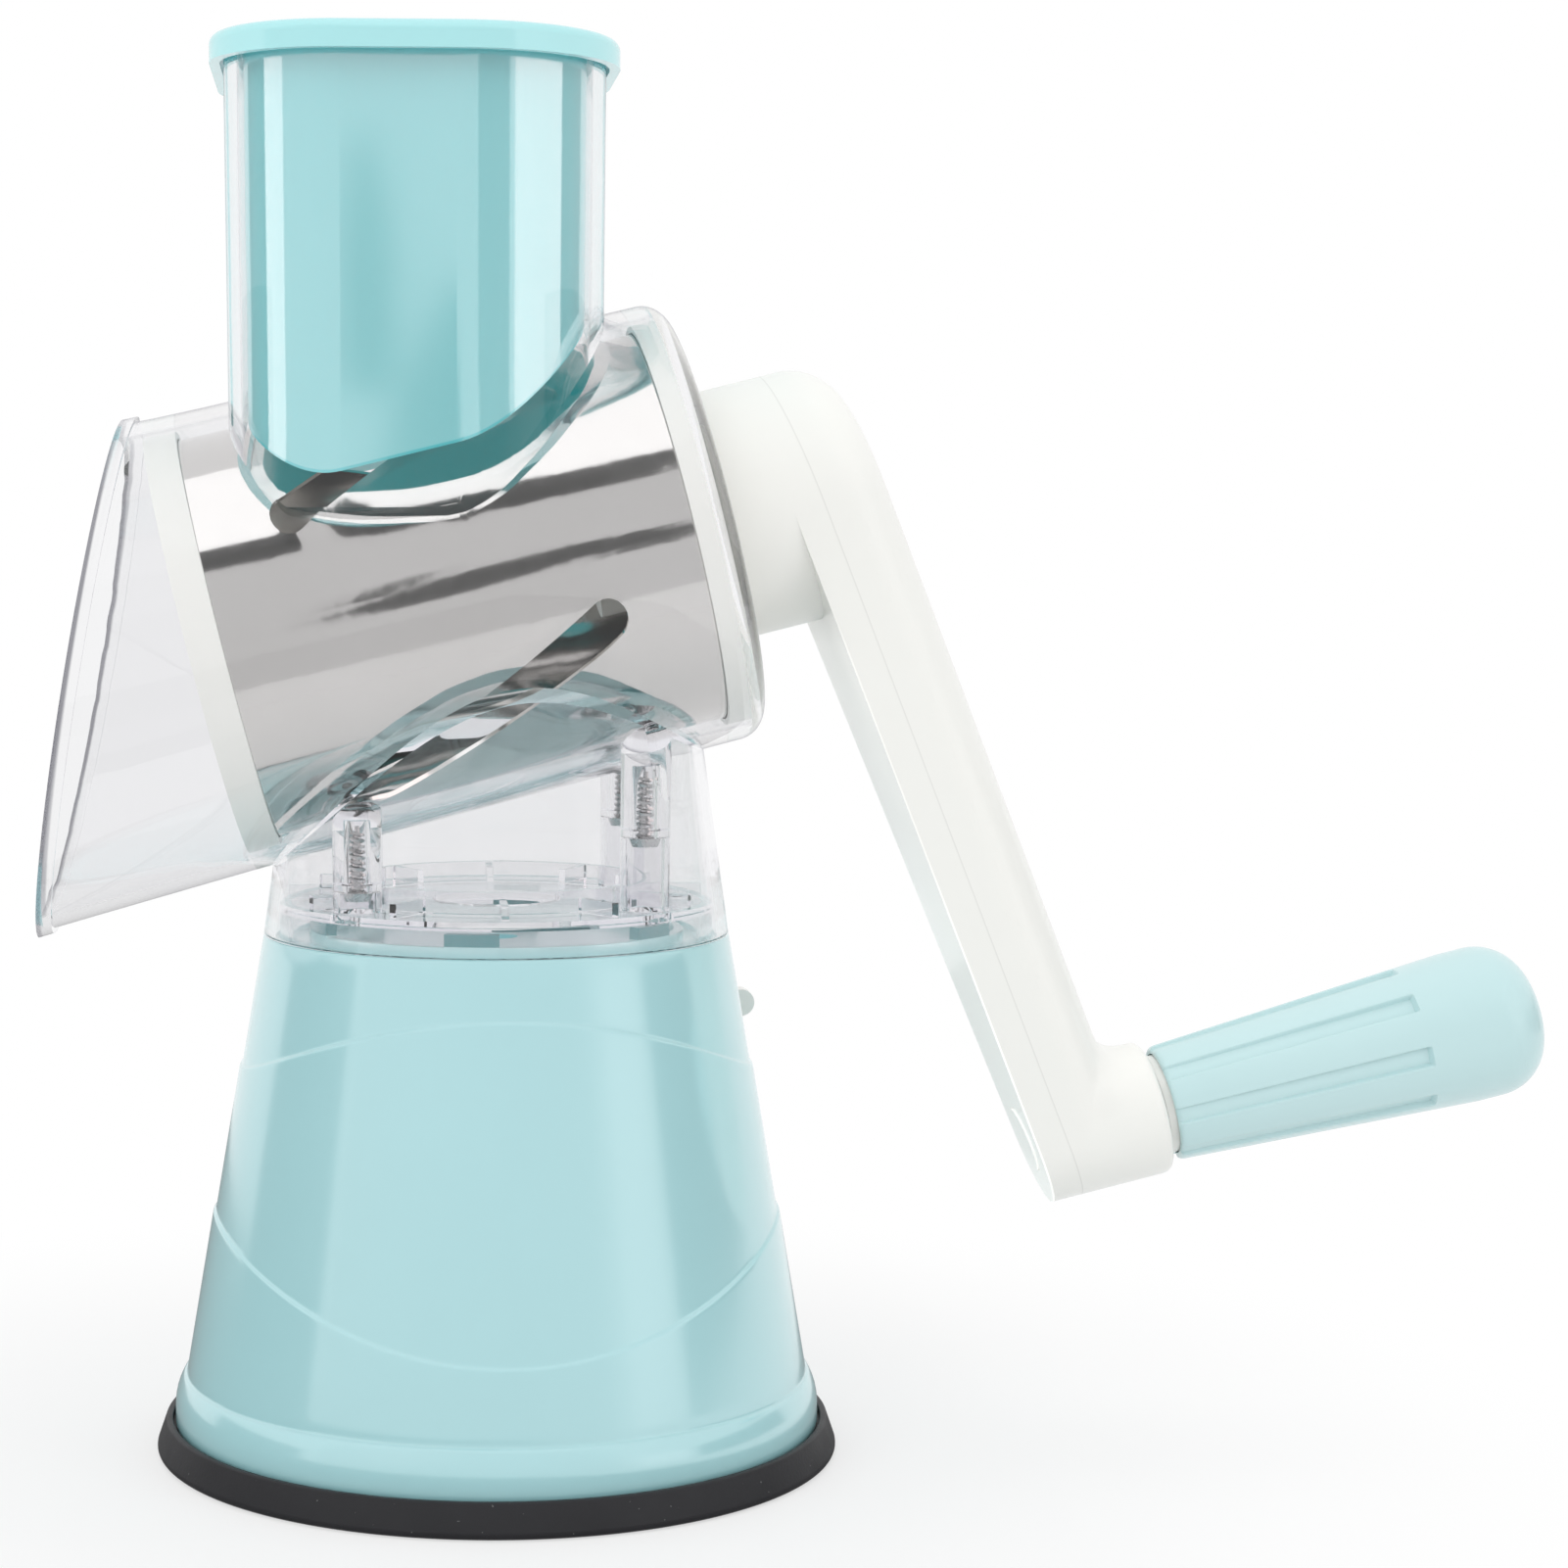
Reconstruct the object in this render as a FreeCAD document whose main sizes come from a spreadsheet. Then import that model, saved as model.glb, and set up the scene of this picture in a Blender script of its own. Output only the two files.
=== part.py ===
import FreeCAD, Part
import math
import os

import Sketcher
from FreeCAD import Placement, Rotation, Vector

# A hand-cranked rotary vegetable grater on a suction base. Millimetres. The origin is the centre
# of the suction cup's lip on the table, +Z is up, +X runs along the barrel to the crank.

doc = FreeCAD.newDocument("RotaryGrater")
sheet = doc.addObject("Spreadsheet::Sheet", "Dims")
pieces = []


class Size:
    """A length kept as a spreadsheet formula, with the number that it has now."""

    def __init__(self, text, number):
        self.text = text
        self.number = number

    def __add__(self, other):
        other = as_size(other)
        return Size("(%s + %s)" % (self.text, other.text), self.number + other.number)

    def __sub__(self, other):
        other = as_size(other)
        return Size("(%s - %s)" % (self.text, other.text), self.number - other.number)

    def __mul__(self, other):
        other = as_size(other)
        return Size("(%s * %s)" % (self.text, other.text), self.number * other.number)

    def __truediv__(self, other):
        other = as_size(other)
        return Size("(%s / %s)" % (self.text, other.text), self.number / other.number)

    def __neg__(self):
        return Size("(0 - %s)" % self.text, -self.number)

    def __rsub__(self, other):
        return as_size(other) - self

    def __rtruediv__(self, other):
        return as_size(other) / self

    __radd__ = __add__
    __rmul__ = __mul__


def as_size(value):
    if isinstance(value, Size):
        return value
    return Size("%.9g" % value, float(value))


def root(value):
    return Size("sqrt(%s)" % value.text, math.sqrt(value.number))


def sine(angle):
    return Size("sin(%s)" % as_size(angle).text, math.sin(math.radians(as_size(angle).number)))


def cosine(angle):
    return Size("cos(%s)" % as_size(angle).text, math.cos(math.radians(as_size(angle).number)))


def tangent(angle):
    return Size("tan(%s)" % as_size(angle).text, math.tan(math.radians(as_size(angle).number)))


def size(name, number):
    """Adds one driving dimension to the sheet and returns it."""
    row = str(len(sizes) + 1)
    sheet.set("A" + row, name)
    sheet.set("B" + row, str(number))
    sheet.setAlias("B" + row, name)
    sizes.append(name)
    return Size("Dims." + name, float(number))


sizes = []

# Barrel and its tilt. Places along the barrel are measured from where its axis crosses the base's axis.
axis_tilt = size("axis_tilt", 14.0)
axis_height = size("axis_height", 164.2)
barrel_radius = size("barrel_radius", 41.8)
barrel_draft = size("barrel_draft", 0.82)
barrel_back = size("barrel_back", 41.6)
barrel_edge = size("barrel_edge", 5.0)
clear_wall = size("clear_wall", 2.3)
spout_start = size("spout_start", 46.0)
spout_flare = size("spout_flare", 1.9)
mouth_back = size("mouth_back", 73.4)
mouth_lean = size("mouth_lean", 9.5)
lip_width = size("lip_width", 2.6)
lip_proud = size("lip_proud", 0.9)

# Feed hopper
hopper_centre = size("hopper_centre", 14.85)
hopper_length = size("hopper_length", 67.2)
hopper_depth = size("hopper_depth", 78.7)
hopper_corner = size("hopper_corner", 20.0)
hopper_far_corner = size("hopper_far_corner", 27.0)
hopper_foot = size("hopper_foot", 176.0)
hopper_top = size("hopper_top", 256.9)
hopper_draft = size("hopper_draft", 0.5)

# Pusher
pusher_gap = size("pusher_gap", 1.2)
pusher_wall = size("pusher_wall", 2.0)
pusher_drum_gap = size("pusher_drum_gap", 6.4)
rim_stand = size("rim_stand", 2.5)
rim_top = hopper_top + rim_stand
rim_drop = size("rim_drop", 5.0)
rim_overhang = size("rim_overhang", 2.5)
rim_gap = size("rim_gap", 0.6)

# Neck and its plate
neck_height = size("neck_height", 97.2)
neck_radius = size("neck_radius", 43.45)
neck_slope = size("neck_slope", 8.0)
neck_wall = size("neck_wall", 2.0)
screw_reach_x = size("screw_reach_x", 25.6)
screw_reach_y = size("screw_reach_y", 21.6)
post_radius = size("post_radius", 4.3)
low_post_top = size("low_post_top", 108.4)
high_post_top = size("high_post_top", 118.0)
plate_floor = size("plate_floor", 1.8)
plate_ring_top = size("plate_ring_top", 103.4)

# Base shell
cone_slope = size("cone_slope", 9.6)
band_step = size("band_step", 0.45)
base_wall = size("base_wall", 2.4)
upper_wave_crest = size("upper_wave_crest", 86.4)
upper_wave_radius = size("upper_wave_radius", 90.0)
lower_wave_trough = size("lower_wave_trough", 27.7)
lower_wave_radius = size("lower_wave_radius", 89.0)
flange_top = size("flange_top", 14.8)
flange_growth = size("flange_growth", 17.05)
flange_radius = neck_radius + flange_growth
foot_height = size("foot_height", 5.0)
deck_top = size("deck_top", 96.2)

# Suction gear
cup_growth = size("cup_growth", 3.5)
cup_radius = flange_radius + cup_growth
cup_thickness = size("cup_thickness", 3.2)
lip_land = size("lip_land", 8.0)
chassis_inset = size("chassis_inset", 4.4)
chassis_radius = flange_radius - chassis_inset
chassis_floor = size("chassis_floor", 3.4)
guide_height = size("guide_height", 20.0)
stem_radius = size("stem_radius", 4.0)
shaft_height = size("shaft_height", 58.0)
shaft_radius = size("shaft_radius", 6.0)
shaft_square = size("shaft_square", 7.6)
cam_rest = size("cam_rest", 7.0)
cam_lift = size("cam_lift", 6.0)
lever_stand = size("lever_stand", 10.75)
lever_face = neck_radius + lever_stand
lever_reach = size("lever_reach", 58.0)
lever_angle = size("lever_angle", 18.0)

# Drum
drum_room = size("drum_room", 2.45)
drum_radius = barrel_radius - clear_wall - drum_room
drum_draft = size("drum_draft", 0.65)
drum_wall = size("drum_wall", 0.8)
drum_front = size("drum_front", 55.6)
steel_front = size("steel_front", 50.8)
steel_back = size("steel_back", 34.3)
ring_gap = size("ring_gap", 0.9)
slot_count = 4
slot_width = size("slot_width", 7.2)
slot_length = size("slot_length", 63.0)
slot_slant = size("slot_slant", 27.2)
slot_middle = size("slot_middle", 9.0)
slot_phase = size("slot_phase", 39.0)

# Crank, seen along its own axis; the arm leans outwards by its splay
crank_start = size("crank_start", 42.5)
hub_radius = size("hub_radius", 23.3)
arm_end_radius = size("arm_end_radius", 12.7)
crank_reach = size("crank_reach", 128.7)
arm_splay = size("arm_splay", 8.0)
arm_inner = size("arm_inner", 53.4)
arm_seam = size("arm_seam", 59.2)
arm_outer = size("arm_outer", 72.0)
arm_edge = size("arm_edge", 9.0)
arm_wall = size("arm_wall", 2.2)
boss_end = size("boss_end", 97.0)

# Knob
grip_start = size("grip_start", 98.8)
grip_length = size("grip_length", 72.6)
grip_thin = size("grip_thin", 11.0)
grip_thick = size("grip_thick", 14.4)
grip_end_round = size("grip_end_round", 9.5)

# Fits
running_gap = size("running_gap", 0.1)
sliding_gap = size("sliding_gap", 0.3)

doc.recompute()


def bind(thing, field, value):
    thing.setExpression(field, as_size(value).text)


def new_body(name):
    return doc.addObject("PartDesign::Body", name)


def finish(thing, label):
    """Marks an object as a sub-part of its own and gives it its name."""
    thing.Label = label
    pieces.append(thing)
    return thing


def lean(thing, angle, along=0, height=axis_height):
    """Tips an object's own X axis up by an angle about a point on the tilted axis."""
    thing.Placement = Placement(Vector(0, 0, 0), Rotation(Vector(0, -1, 0), as_size(angle).number))
    bind(thing, "Placement.Rotation.Angle", angle)
    bind(thing, "Placement.Base.x", as_size(along) * cosine(axis_tilt))
    bind(thing, "Placement.Base.z", height + as_size(along) * sine(axis_tilt))
    return thing


def new_sketch(body, role, name, shift=None):
    drawing = body.newObject("Sketcher::SketchObject", name)
    planes = [plane for plane in body.Origin.OriginFeatures if plane.Role == role]
    drawing.AttachmentSupport = (planes[0], [""])
    drawing.MapMode = "FlatFace"
    if shift is not None:
        bind(drawing, "AttachmentOffset.Base.z", shift)
    return drawing


def pin(drawing, geometry, end, x, y):
    """Ties one end of a line or arc, or a circle's centre, to its place."""
    for value, kind, axis in ((x, "DistanceX", -2), (y, "DistanceY", -1)):
        value = as_size(value)
        if value.text == "0":
            drawing.addConstraint(Sketcher.Constraint("PointOnObject", geometry, end, axis))
            continue
        rule = Sketcher.Constraint(kind, -1, 1, geometry, end, value.number)
        place = drawing.addConstraint(rule)
        drawing.setExpression("Constraints[%d]" % place, value.text)


def circle(drawing, x, y, radius):
    x, y, radius = as_size(x), as_size(y), as_size(radius)
    shape = Part.Circle(Vector(x.number, y.number, 0), Vector(0, 0, 1), radius.number)
    geometry = drawing.addGeometry(shape, False)
    pin(drawing, geometry, 3, x, y)
    place = drawing.addConstraint(Sketcher.Constraint("Radius", geometry, radius.number))
    drawing.setExpression("Constraints[%d]" % place, radius.text)


def outline(drawing, corners):
    """Draws a closed outline. A corner is (x, y), or (x, y, radius, side) where the edge that
    leaves it is an arc with its centre to the left (1) or to the right (-1)."""
    edges = []
    for here, there in zip(corners, corners[1:] + corners[:1]):
        start = Vector(as_size(here[0]).number, as_size(here[1]).number, 0)
        end = Vector(as_size(there[0]).number, as_size(there[1]).number, 0)
        if len(here) == 2:
            geometry = drawing.addGeometry(Part.LineSegment(start, end), False)
            edges.append((geometry, 1, 2))
            continue
        radius, side = as_size(here[2]), here[3]
        chord = end - start
        left = Vector(-chord.y, chord.x, 0).normalize()
        reach = math.sqrt(max(radius.number ** 2 - chord.Length ** 2 / 4, 0))
        centre = (start + end) * 0.5 + left * reach * side
        first, last = (start, end) if side > 0 else (end, start)
        angles = [math.atan2(point.y - centre.y, point.x - centre.x) for point in (first, last)]
        full = Part.Circle(centre, Vector(0, 0, 1), radius.number)
        geometry = drawing.addGeometry(Part.ArcOfCircle(full, angles[0], angles[1]), False)
        place = drawing.addConstraint(Sketcher.Constraint("Radius", geometry, radius.number))
        drawing.setExpression("Constraints[%d]" % place, radius.text)
        edges.append((geometry, 1, 2) if side > 0 else (geometry, 2, 1))
    for index, corner in enumerate(corners):
        geometry, begin, _ = edges[index]
        before, _, close = edges[index - 1]
        drawing.addConstraint(Sketcher.Constraint("Coincident", before, close, geometry, begin))
        pin(drawing, geometry, begin, corner[0], corner[1])


def box_outline(drawing, left, right, low, high):
    outline(drawing, [(left, low), (right, low), (right, high), (left, high)])


def rounded_box(drawing, middle, half_x, half_y, corner, far_corner):
    """A rectangle about (middle, 0): its corners are arcs, with a radius of their own at +X."""
    left, right = middle - half_x, middle + half_x
    near, far = half_y - corner, half_y - far_corner
    outline(drawing, [
        (left + corner, -half_y), (right - far_corner, -half_y, far_corner, 1),
        (right, -far), (right, far, far_corner, 1),
        (right - far_corner, half_y), (left + corner, half_y, corner, 1),
        (left, near), (left, -near, corner, 1),
    ])


def teardrop(drawing, big, small, reach, across=False):
    """Two circles joined by their outer tangents: the big one at the origin, the small one at a
    distance along +X, or along -Y of the sketch when it lies across."""
    lean_sine = (big - small) / reach
    lean_cosine = root(1 - lean_sine * lean_sine)
    near_x, near_y = big * lean_sine, big * lean_cosine
    far_x, far_y = reach + small * lean_sine, small * lean_cosine
    far_tip, back = reach + small, -big
    if across:
        outline(drawing, [
            (-near_y, -near_x), (-far_y, -far_x, small, 1), (0, -far_tip, small, 1),
            (far_y, -far_x), (near_y, -near_x, big, 1), (0, big, big, 1),
        ])
        return
    outline(drawing, [
        (near_x, -near_y), (far_x, -far_y, small, 1), (far_tip, 0, small, 1),
        (far_x, far_y), (near_x, near_y, big, 1), (back, 0, big, 1),
    ])


def revolve(body, drawing, axis="V_Axis"):
    turned = body.newObject("PartDesign::Revolution", drawing.Name + "Turned")
    turned.Profile = drawing
    turned.ReferenceAxis = (drawing, [axis])
    turned.Angle = 360
    return turned


def pad(body, drawing, length, reverse=False, middle=False, taper=None):
    raised = body.newObject("PartDesign::Pad", drawing.Name + "Pad")
    raised.Profile = drawing
    bind(raised, "Length", length)
    raised.Reversed = reverse
    raised.Midplane = middle
    if taper is not None:
        bind(raised, "TaperAngle", taper)
    return raised


def pocket(body, drawing, length=None, reverse=False, middle=False):
    cut = body.newObject("PartDesign::Pocket", drawing.Name + "Pocket")
    cut.Profile = drawing
    if length is None:
        cut.Type = "ThroughAll"
    else:
        bind(cut, "Length", length)
    cut.Reversed = reverse
    cut.Midplane = middle
    return cut


def ring_of(body, feature, drawing, axis, count):
    """Repeats a feature evenly round an axis of its sketch."""
    body.Tip = feature
    pattern = body.newObject("PartDesign::PolarPattern", feature.Name + "Ring")
    pattern.Originals = [feature]
    pattern.Axis = (drawing, [axis])
    pattern.Angle = 360
    pattern.Occurrences = count
    body.Tip = pattern
    return pattern


def combine(kind, name, *parts):
    """A Part boolean: MultiFuse or MultiCommon of all parts, or Cut of the first by the second."""
    result = doc.addObject("Part::" + kind, name)
    if kind == "Cut":
        result.Base, result.Tool = parts
    else:
        result.Shapes = list(parts)
    return result


def block(name, x_low, x_high, y_low, y_high, z_low, z_high):
    shape = doc.addObject("Part::Box", name)
    bind(shape, "Length", as_size(x_high) - x_low)
    bind(shape, "Width", as_size(y_high) - y_low)
    bind(shape, "Height", as_size(z_high) - z_low)
    bind(shape, "Placement.Base.x", x_low)
    bind(shape, "Placement.Base.y", y_low)
    bind(shape, "Placement.Base.z", z_low)
    return shape


def upright(name, x, y, z_low, z_high, radius):
    shape = doc.addObject("Part::Cylinder", name)
    bind(shape, "Radius", radius)
    bind(shape, "Height", as_size(z_high) - z_low)
    bind(shape, "Placement.Base.x", x)
    bind(shape, "Placement.Base.y", y)
    bind(shape, "Placement.Base.z", z_low)
    return shape


# Suction cup: a black rubber disc. Its lip flares out from under the base shell and lies on the
# table, and its rim stands up round the foot of the shell. The middle is arched a little and holds
# the stem's stud in a blind hole.
arch = 1.5
lip_round = 1.0
dome_radius = 21.0
stud_radius = 3.0
stud_depth = 1.5
cup_arch = 0.6
rim_reach = 1.6
rim_rise = 1.2
cup_middle = cup_thickness + cup_arch
cup = new_body("SuctionCup")
profile = new_sketch(cup, "XZ_Plane", "CupProfile")
outline(profile, [
    (0, arch), (cup_radius - lip_land - 2, arch), (cup_radius - lip_land, 0),
    (cup_radius - lip_round, 0, lip_round, 1), (cup_radius, lip_round),
    (flange_radius + rim_reach, foot_height + rim_rise), (flange_radius + 0.4, foot_height + rim_rise),
    (flange_radius + 0.4, foot_height), (chassis_radius + 1, foot_height),
    (chassis_radius + 0.6, cup_thickness), (dome_radius * 2 - 1, cup_thickness),
    (18, cup_middle), (stud_radius + sliding_gap, cup_middle),
    (stud_radius + sliding_gap, cup_middle - stud_depth), (0, cup_middle - stud_depth),
])
revolve(cup, profile)
finish(cup, "suction_cup")

# Base shell: an aqua moulded cone in three bands, each standing proud of the one above along a
# wave, with a rounded flange at the foot, a deck under the clear neck and a boss for the lever.


def cone_radius(height, proud=0):
    return neck_radius + (neck_height - height) * tangent(cone_slope) + proud


flange = new_body("FlangeBand")
profile = new_sketch(flange, "XZ_Plane", "FlangeProfile")
lowest_band = cone_radius(flange_top, band_step * 2)
outline(profile, [
    (0, foot_height), (flange_radius - 0.5, foot_height, 0.6, 1), (flange_radius, foot_height + 0.5),
    (flange_radius, foot_height + 3, 6.6, 1), (lowest_band, flange_top), (0, flange_top),
])
revolve(flange, profile)


def band(name, proud):
    """One whole cone, standing proud of the top band by a step."""
    cone = new_body(name)
    drawing = new_sketch(cone, "XZ_Plane", name + "Profile")
    outline(drawing, [
        (0, foot_height), (cone_radius(foot_height, proud), foot_height),
        (cone_radius(neck_height, proud), neck_height), (0, neck_height),
    ])
    revolve(cone, drawing)
    return cone


def below_wave(name, middle_height, wave_radius, crest):
    """All that lies under a wave, which is an arc seen from the front."""
    under = new_body(name)
    drawing = new_sketch(under, "XZ_Plane", name + "Profile")
    reach = cup_radius
    drop = wave_radius - root(wave_radius * wave_radius - reach * reach)
    side_height = middle_height - drop if crest else middle_height + drop
    outline(drawing, [
        (-reach, foot_height - 1), (reach, foot_height - 1),
        (reach, side_height, wave_radius, 1 if crest else -1), (-reach, side_height),
    ])
    pad(under, drawing, cup_radius * 2, middle=True)
    return under


upper_band = band("UpperBand", 0)
middle_band = combine(
    "MultiCommon", "MiddleBandPart", band("MiddleBand", band_step),
    below_wave("UpperWave", upper_wave_crest, upper_wave_radius, True))
lower_band = combine(
    "MultiCommon", "LowerBandPart", band("LowerBand", band_step * 2),
    below_wave("LowerWave", lower_wave_trough, lower_wave_radius, False))

lever_boss_radius = 11.0
lever_boss = doc.addObject("Part::Cylinder", "LeverBoss")
lever_boss.Placement = Placement(Vector(0, 0, 0), Rotation(Vector(1, 0, 0), -90))
lever_boss.Radius = lever_boss_radius
boss_start = cone_radius(shaft_height) - base_wall - 6
bind(lever_boss, "Height", lever_face - boss_start)
bind(lever_boss, "Placement.Base.y", boss_start)
bind(lever_boss, "Placement.Base.z", shaft_height)

deck_thickness = 2.2
deck_hole = 4.0
shell_solid = combine("MultiFuse", "ShellSolid", upper_band, middle_band, lower_band, flange)
hollow = new_body("ShellHollow")
profile = new_sketch(hollow, "XZ_Plane", "ShellHollowProfile")
under_deck = deck_top - deck_thickness
inside_foot = cone_radius(flange_top) - base_wall
outline(profile, [
    (0, foot_height - 1), (chassis_radius + sliding_gap, foot_height - 1),
    (chassis_radius + sliding_gap, flange_top), (inside_foot, flange_top),
    (cone_radius(under_deck) - base_wall, under_deck), (deck_hole, under_deck),
    (deck_hole, neck_height + 1), (0, neck_height + 1),
])
revolve(hollow, profile)
deck_recess = new_body("DeckRecess")
profile = new_sketch(deck_recess, "XZ_Plane", "DeckRecessProfile")
recess_radius = neck_radius - base_wall
outline(profile, [
    (0, deck_top), (recess_radius, deck_top), (recess_radius, neck_height + 1), (0, neck_height + 1),
])
revolve(deck_recess, profile)
shell_spaces = combine("MultiFuse", "ShellSpaces", hollow, deck_recess)
shell_skin = combine("Cut", "ShellSkin", shell_solid, shell_spaces)

screw_inset = 6.1
screw_circle = chassis_radius - screw_inset
base_screw_count = 4
chassis_top = cup_thickness + chassis_floor
shell_posts = []
for number in range(base_screw_count):
    turn = math.radians(45 + 90 * number)
    x, y = screw_circle * math.cos(turn), screw_circle * math.sin(turn)
    shell_posts.append(upright("ShellPost%d" % number, x, y, chassis_top, chassis_top + 30, 4.0))

# A low collar stands on the deck and carries six bayonet tabs, which hold the neck plate's ring.
collar_radius = 35.0
collar_top = deck_top + 2.1
tabs_top = plate_ring_top - plate_floor - 1
tab_middle = -5.7
tab_half = 4.8
tab_count = 6
tabs = new_body("DeckTabs")
profile = new_sketch(tabs, "XZ_Plane", "DeckTabsProfile")
outline(profile, [
    (collar_radius - 2, collar_top - 0.5), (collar_radius, collar_top - 0.5),
    (collar_radius, tabs_top), (collar_radius - 2, tabs_top),
])
revolve(tabs, profile)
tab_room = new_body("DeckTabRoom")
tab = new_sketch(tab_room, "XZ_Plane", "DeckTabRoomProfile")
box_outline(tab, tab_middle - tab_half, tab_middle + tab_half, deck_top, tabs_top + 1)
tab_pad = pad(tab_room, tab, collar_radius + 5)
ring_of(tab_room, tab_pad, tab, "V_Axis", tab_count)
standing_tabs = combine("MultiCommon", "StandingTabs", tabs, tab_room)
collar = new_body("DeckCollar")
profile = new_sketch(collar, "XZ_Plane", "DeckCollarProfile")
box_outline(profile, collar_radius - 2, collar_radius, deck_top - 0.5, collar_top)
revolve(collar, profile)

shell_body = combine("MultiFuse", "ShellBody", shell_skin, lever_boss, collar, standing_tabs, *shell_posts)
lever_bore = doc.addObject("Part::Cylinder", "LeverBore")
lever_bore.Placement = Placement(Vector(0, 0, 0), Rotation(Vector(1, 0, 0), -90))
bind(lever_bore, "Radius", shaft_radius + running_gap)
bind(lever_bore, "Height", lever_face)
bind(lever_bore, "Placement.Base.y", boss_start - 5)
bind(lever_bore, "Placement.Base.z", shaft_height)
shell_bores = [lever_bore]
for number in range(base_screw_count):
    turn = math.radians(45 + 90 * number)
    x, y = screw_circle * math.cos(turn), screw_circle * math.sin(turn)
    shell_bores.append(upright("ShellPilot%d" % number, x, y, chassis_top - 1, chassis_top + 14, 1.5))
base_shell = combine("Cut", "BaseShell", shell_body, combine("MultiFuse", "ShellBores", *shell_bores))
finish(base_shell, "base_shell")

# Suction chassis: the white plate that closes the base and presses the cup's edge down. Its
# dome guides the stem, and two towers carry the cam shaft.
guide_thickness = 4.0
tower_start = 11.0
tower_thickness = 5.0
tower_half = 10.0
chassis = new_body("SuctionChassis")
profile = new_sketch(chassis, "XZ_Plane", "ChassisProfile")
guide_top = guide_height + guide_thickness
outline(profile, [
    (chassis_radius, cup_thickness), (chassis_radius, cup_thickness + 9),
    (chassis_radius - 2, cup_thickness + 9), (chassis_radius - 2, chassis_top),
    (dome_radius * 2 + 2, chassis_top), (dome_radius + 2, guide_top),
    (stem_radius + sliding_gap, guide_top), (stem_radius + sliding_gap, guide_height),
    (dome_radius, guide_height), (dome_radius * 2, cup_thickness),
])
revolve(chassis, profile)
tower = new_sketch(chassis, "XZ_Plane", "TowerProfile", -tower_start)
tower_top = shaft_height + tower_half
outline(tower, [
    (-tower_half, guide_top - 2), (tower_half, guide_top - 2),
    (tower_half, shaft_height, tower_half, 1), (0, tower_top, tower_half, 1),
    (-tower_half, shaft_height),
])
pad(chassis, tower, tower_thickness, reverse=True)
front_tower = new_sketch(chassis, "XZ_Plane", "FrontTowerProfile", tower_start)
outline(front_tower, [
    (-tower_half, guide_top - 2), (tower_half, guide_top - 2),
    (tower_half, shaft_height, tower_half, 1), (0, tower_top, tower_half, 1),
    (-tower_half, shaft_height),
])
pad(chassis, front_tower, tower_thickness)
journal_radius = 3.7
rear_bore = new_sketch(chassis, "XZ_Plane", "RearBore", -tower_start)
circle(rear_bore, 0, shaft_height, shaft_radius + running_gap)
pocket(chassis, rear_bore, tower_thickness + 1)
front_bore = new_sketch(chassis, "XZ_Plane", "FrontBore", tower_start)
circle(front_bore, 0, shaft_height, journal_radius + running_gap)
pocket(chassis, front_bore, tower_thickness + 1, reverse=True)
plate_hole = new_sketch(chassis, "XY_Plane", "PlateHole", cup_thickness)
hole_place = screw_circle * math.cos(math.radians(45))
circle(plate_hole, hole_place, hole_place, 1.9)
hole_cut = pocket(chassis, plate_hole, chassis_floor + 1, reverse=True)
ring_of(chassis, hole_cut, plate_hole, "N_Axis", base_screw_count)
head_recess = new_sketch(chassis, "XY_Plane", "HeadRecess", cup_thickness)
circle(head_recess, hole_place, hole_place, 3.5)
recess_cut = pocket(chassis, head_recess, 1.6, reverse=True)
ring_of(chassis, recess_cut, head_recess, "N_Axis", base_screw_count)
finish(chassis, "suction_chassis")

# Fasteners: a screw is a flat or rounded head on a plain shank, built head downwards about +Z.


def screw_shape(name, x, y, head_low, head_radius, head_height, shank_radius, tip_high):
    """An upright self-tapping screw with a cross recess, its head at the bottom."""
    head = upright(name + "Head", x, y, head_low, as_size(head_low) + head_height, head_radius)
    shank = upright(name + "Shank", x, y, head_low, as_size(tip_high) - 2, shank_radius)
    tip = doc.addObject("Part::Cone", name + "Tip")
    bind(tip, "Radius1", shank_radius)
    tip.Radius2 = 0.3
    tip.Height = 2
    bind(tip, "Placement.Base.x", x)
    bind(tip, "Placement.Base.y", y)
    bind(tip, "Placement.Base.z", as_size(tip_high) - 2)
    slots = []
    for half_x, half_y in ((1.7, 0.35), (0.35, 1.7)):
        slots.append(block(
            "%sSlot%d" % (name, len(slots)), as_size(x) - half_x, as_size(x) + half_x,
            as_size(y) - half_y, as_size(y) + half_y, as_size(head_low) - 1, as_size(head_low) + 0.9))
    whole = combine("MultiFuse", name + "Whole", head, shank, tip)
    return combine("Cut", name, whole, combine("MultiFuse", name + "Cross", *slots))


def group(name, label, members):
    """Identical fasteners share one sub-part and stay separate solids."""
    holder = doc.addObject("Part::Compound", name)
    holder.Links = members
    return finish(holder, label)


base_screws = []
for number in range(base_screw_count):
    turn = math.radians(45 + 90 * number)
    x, y = screw_circle * math.cos(turn), screw_circle * math.sin(turn)
    base_screws.append(screw_shape(
        "BaseScrew%d" % number, x, y, cup_thickness + 0.3, 3.2, 1.3, 1.4, chassis_top + 12))
group("BaseScrews", "base_screws", base_screws)

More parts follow.
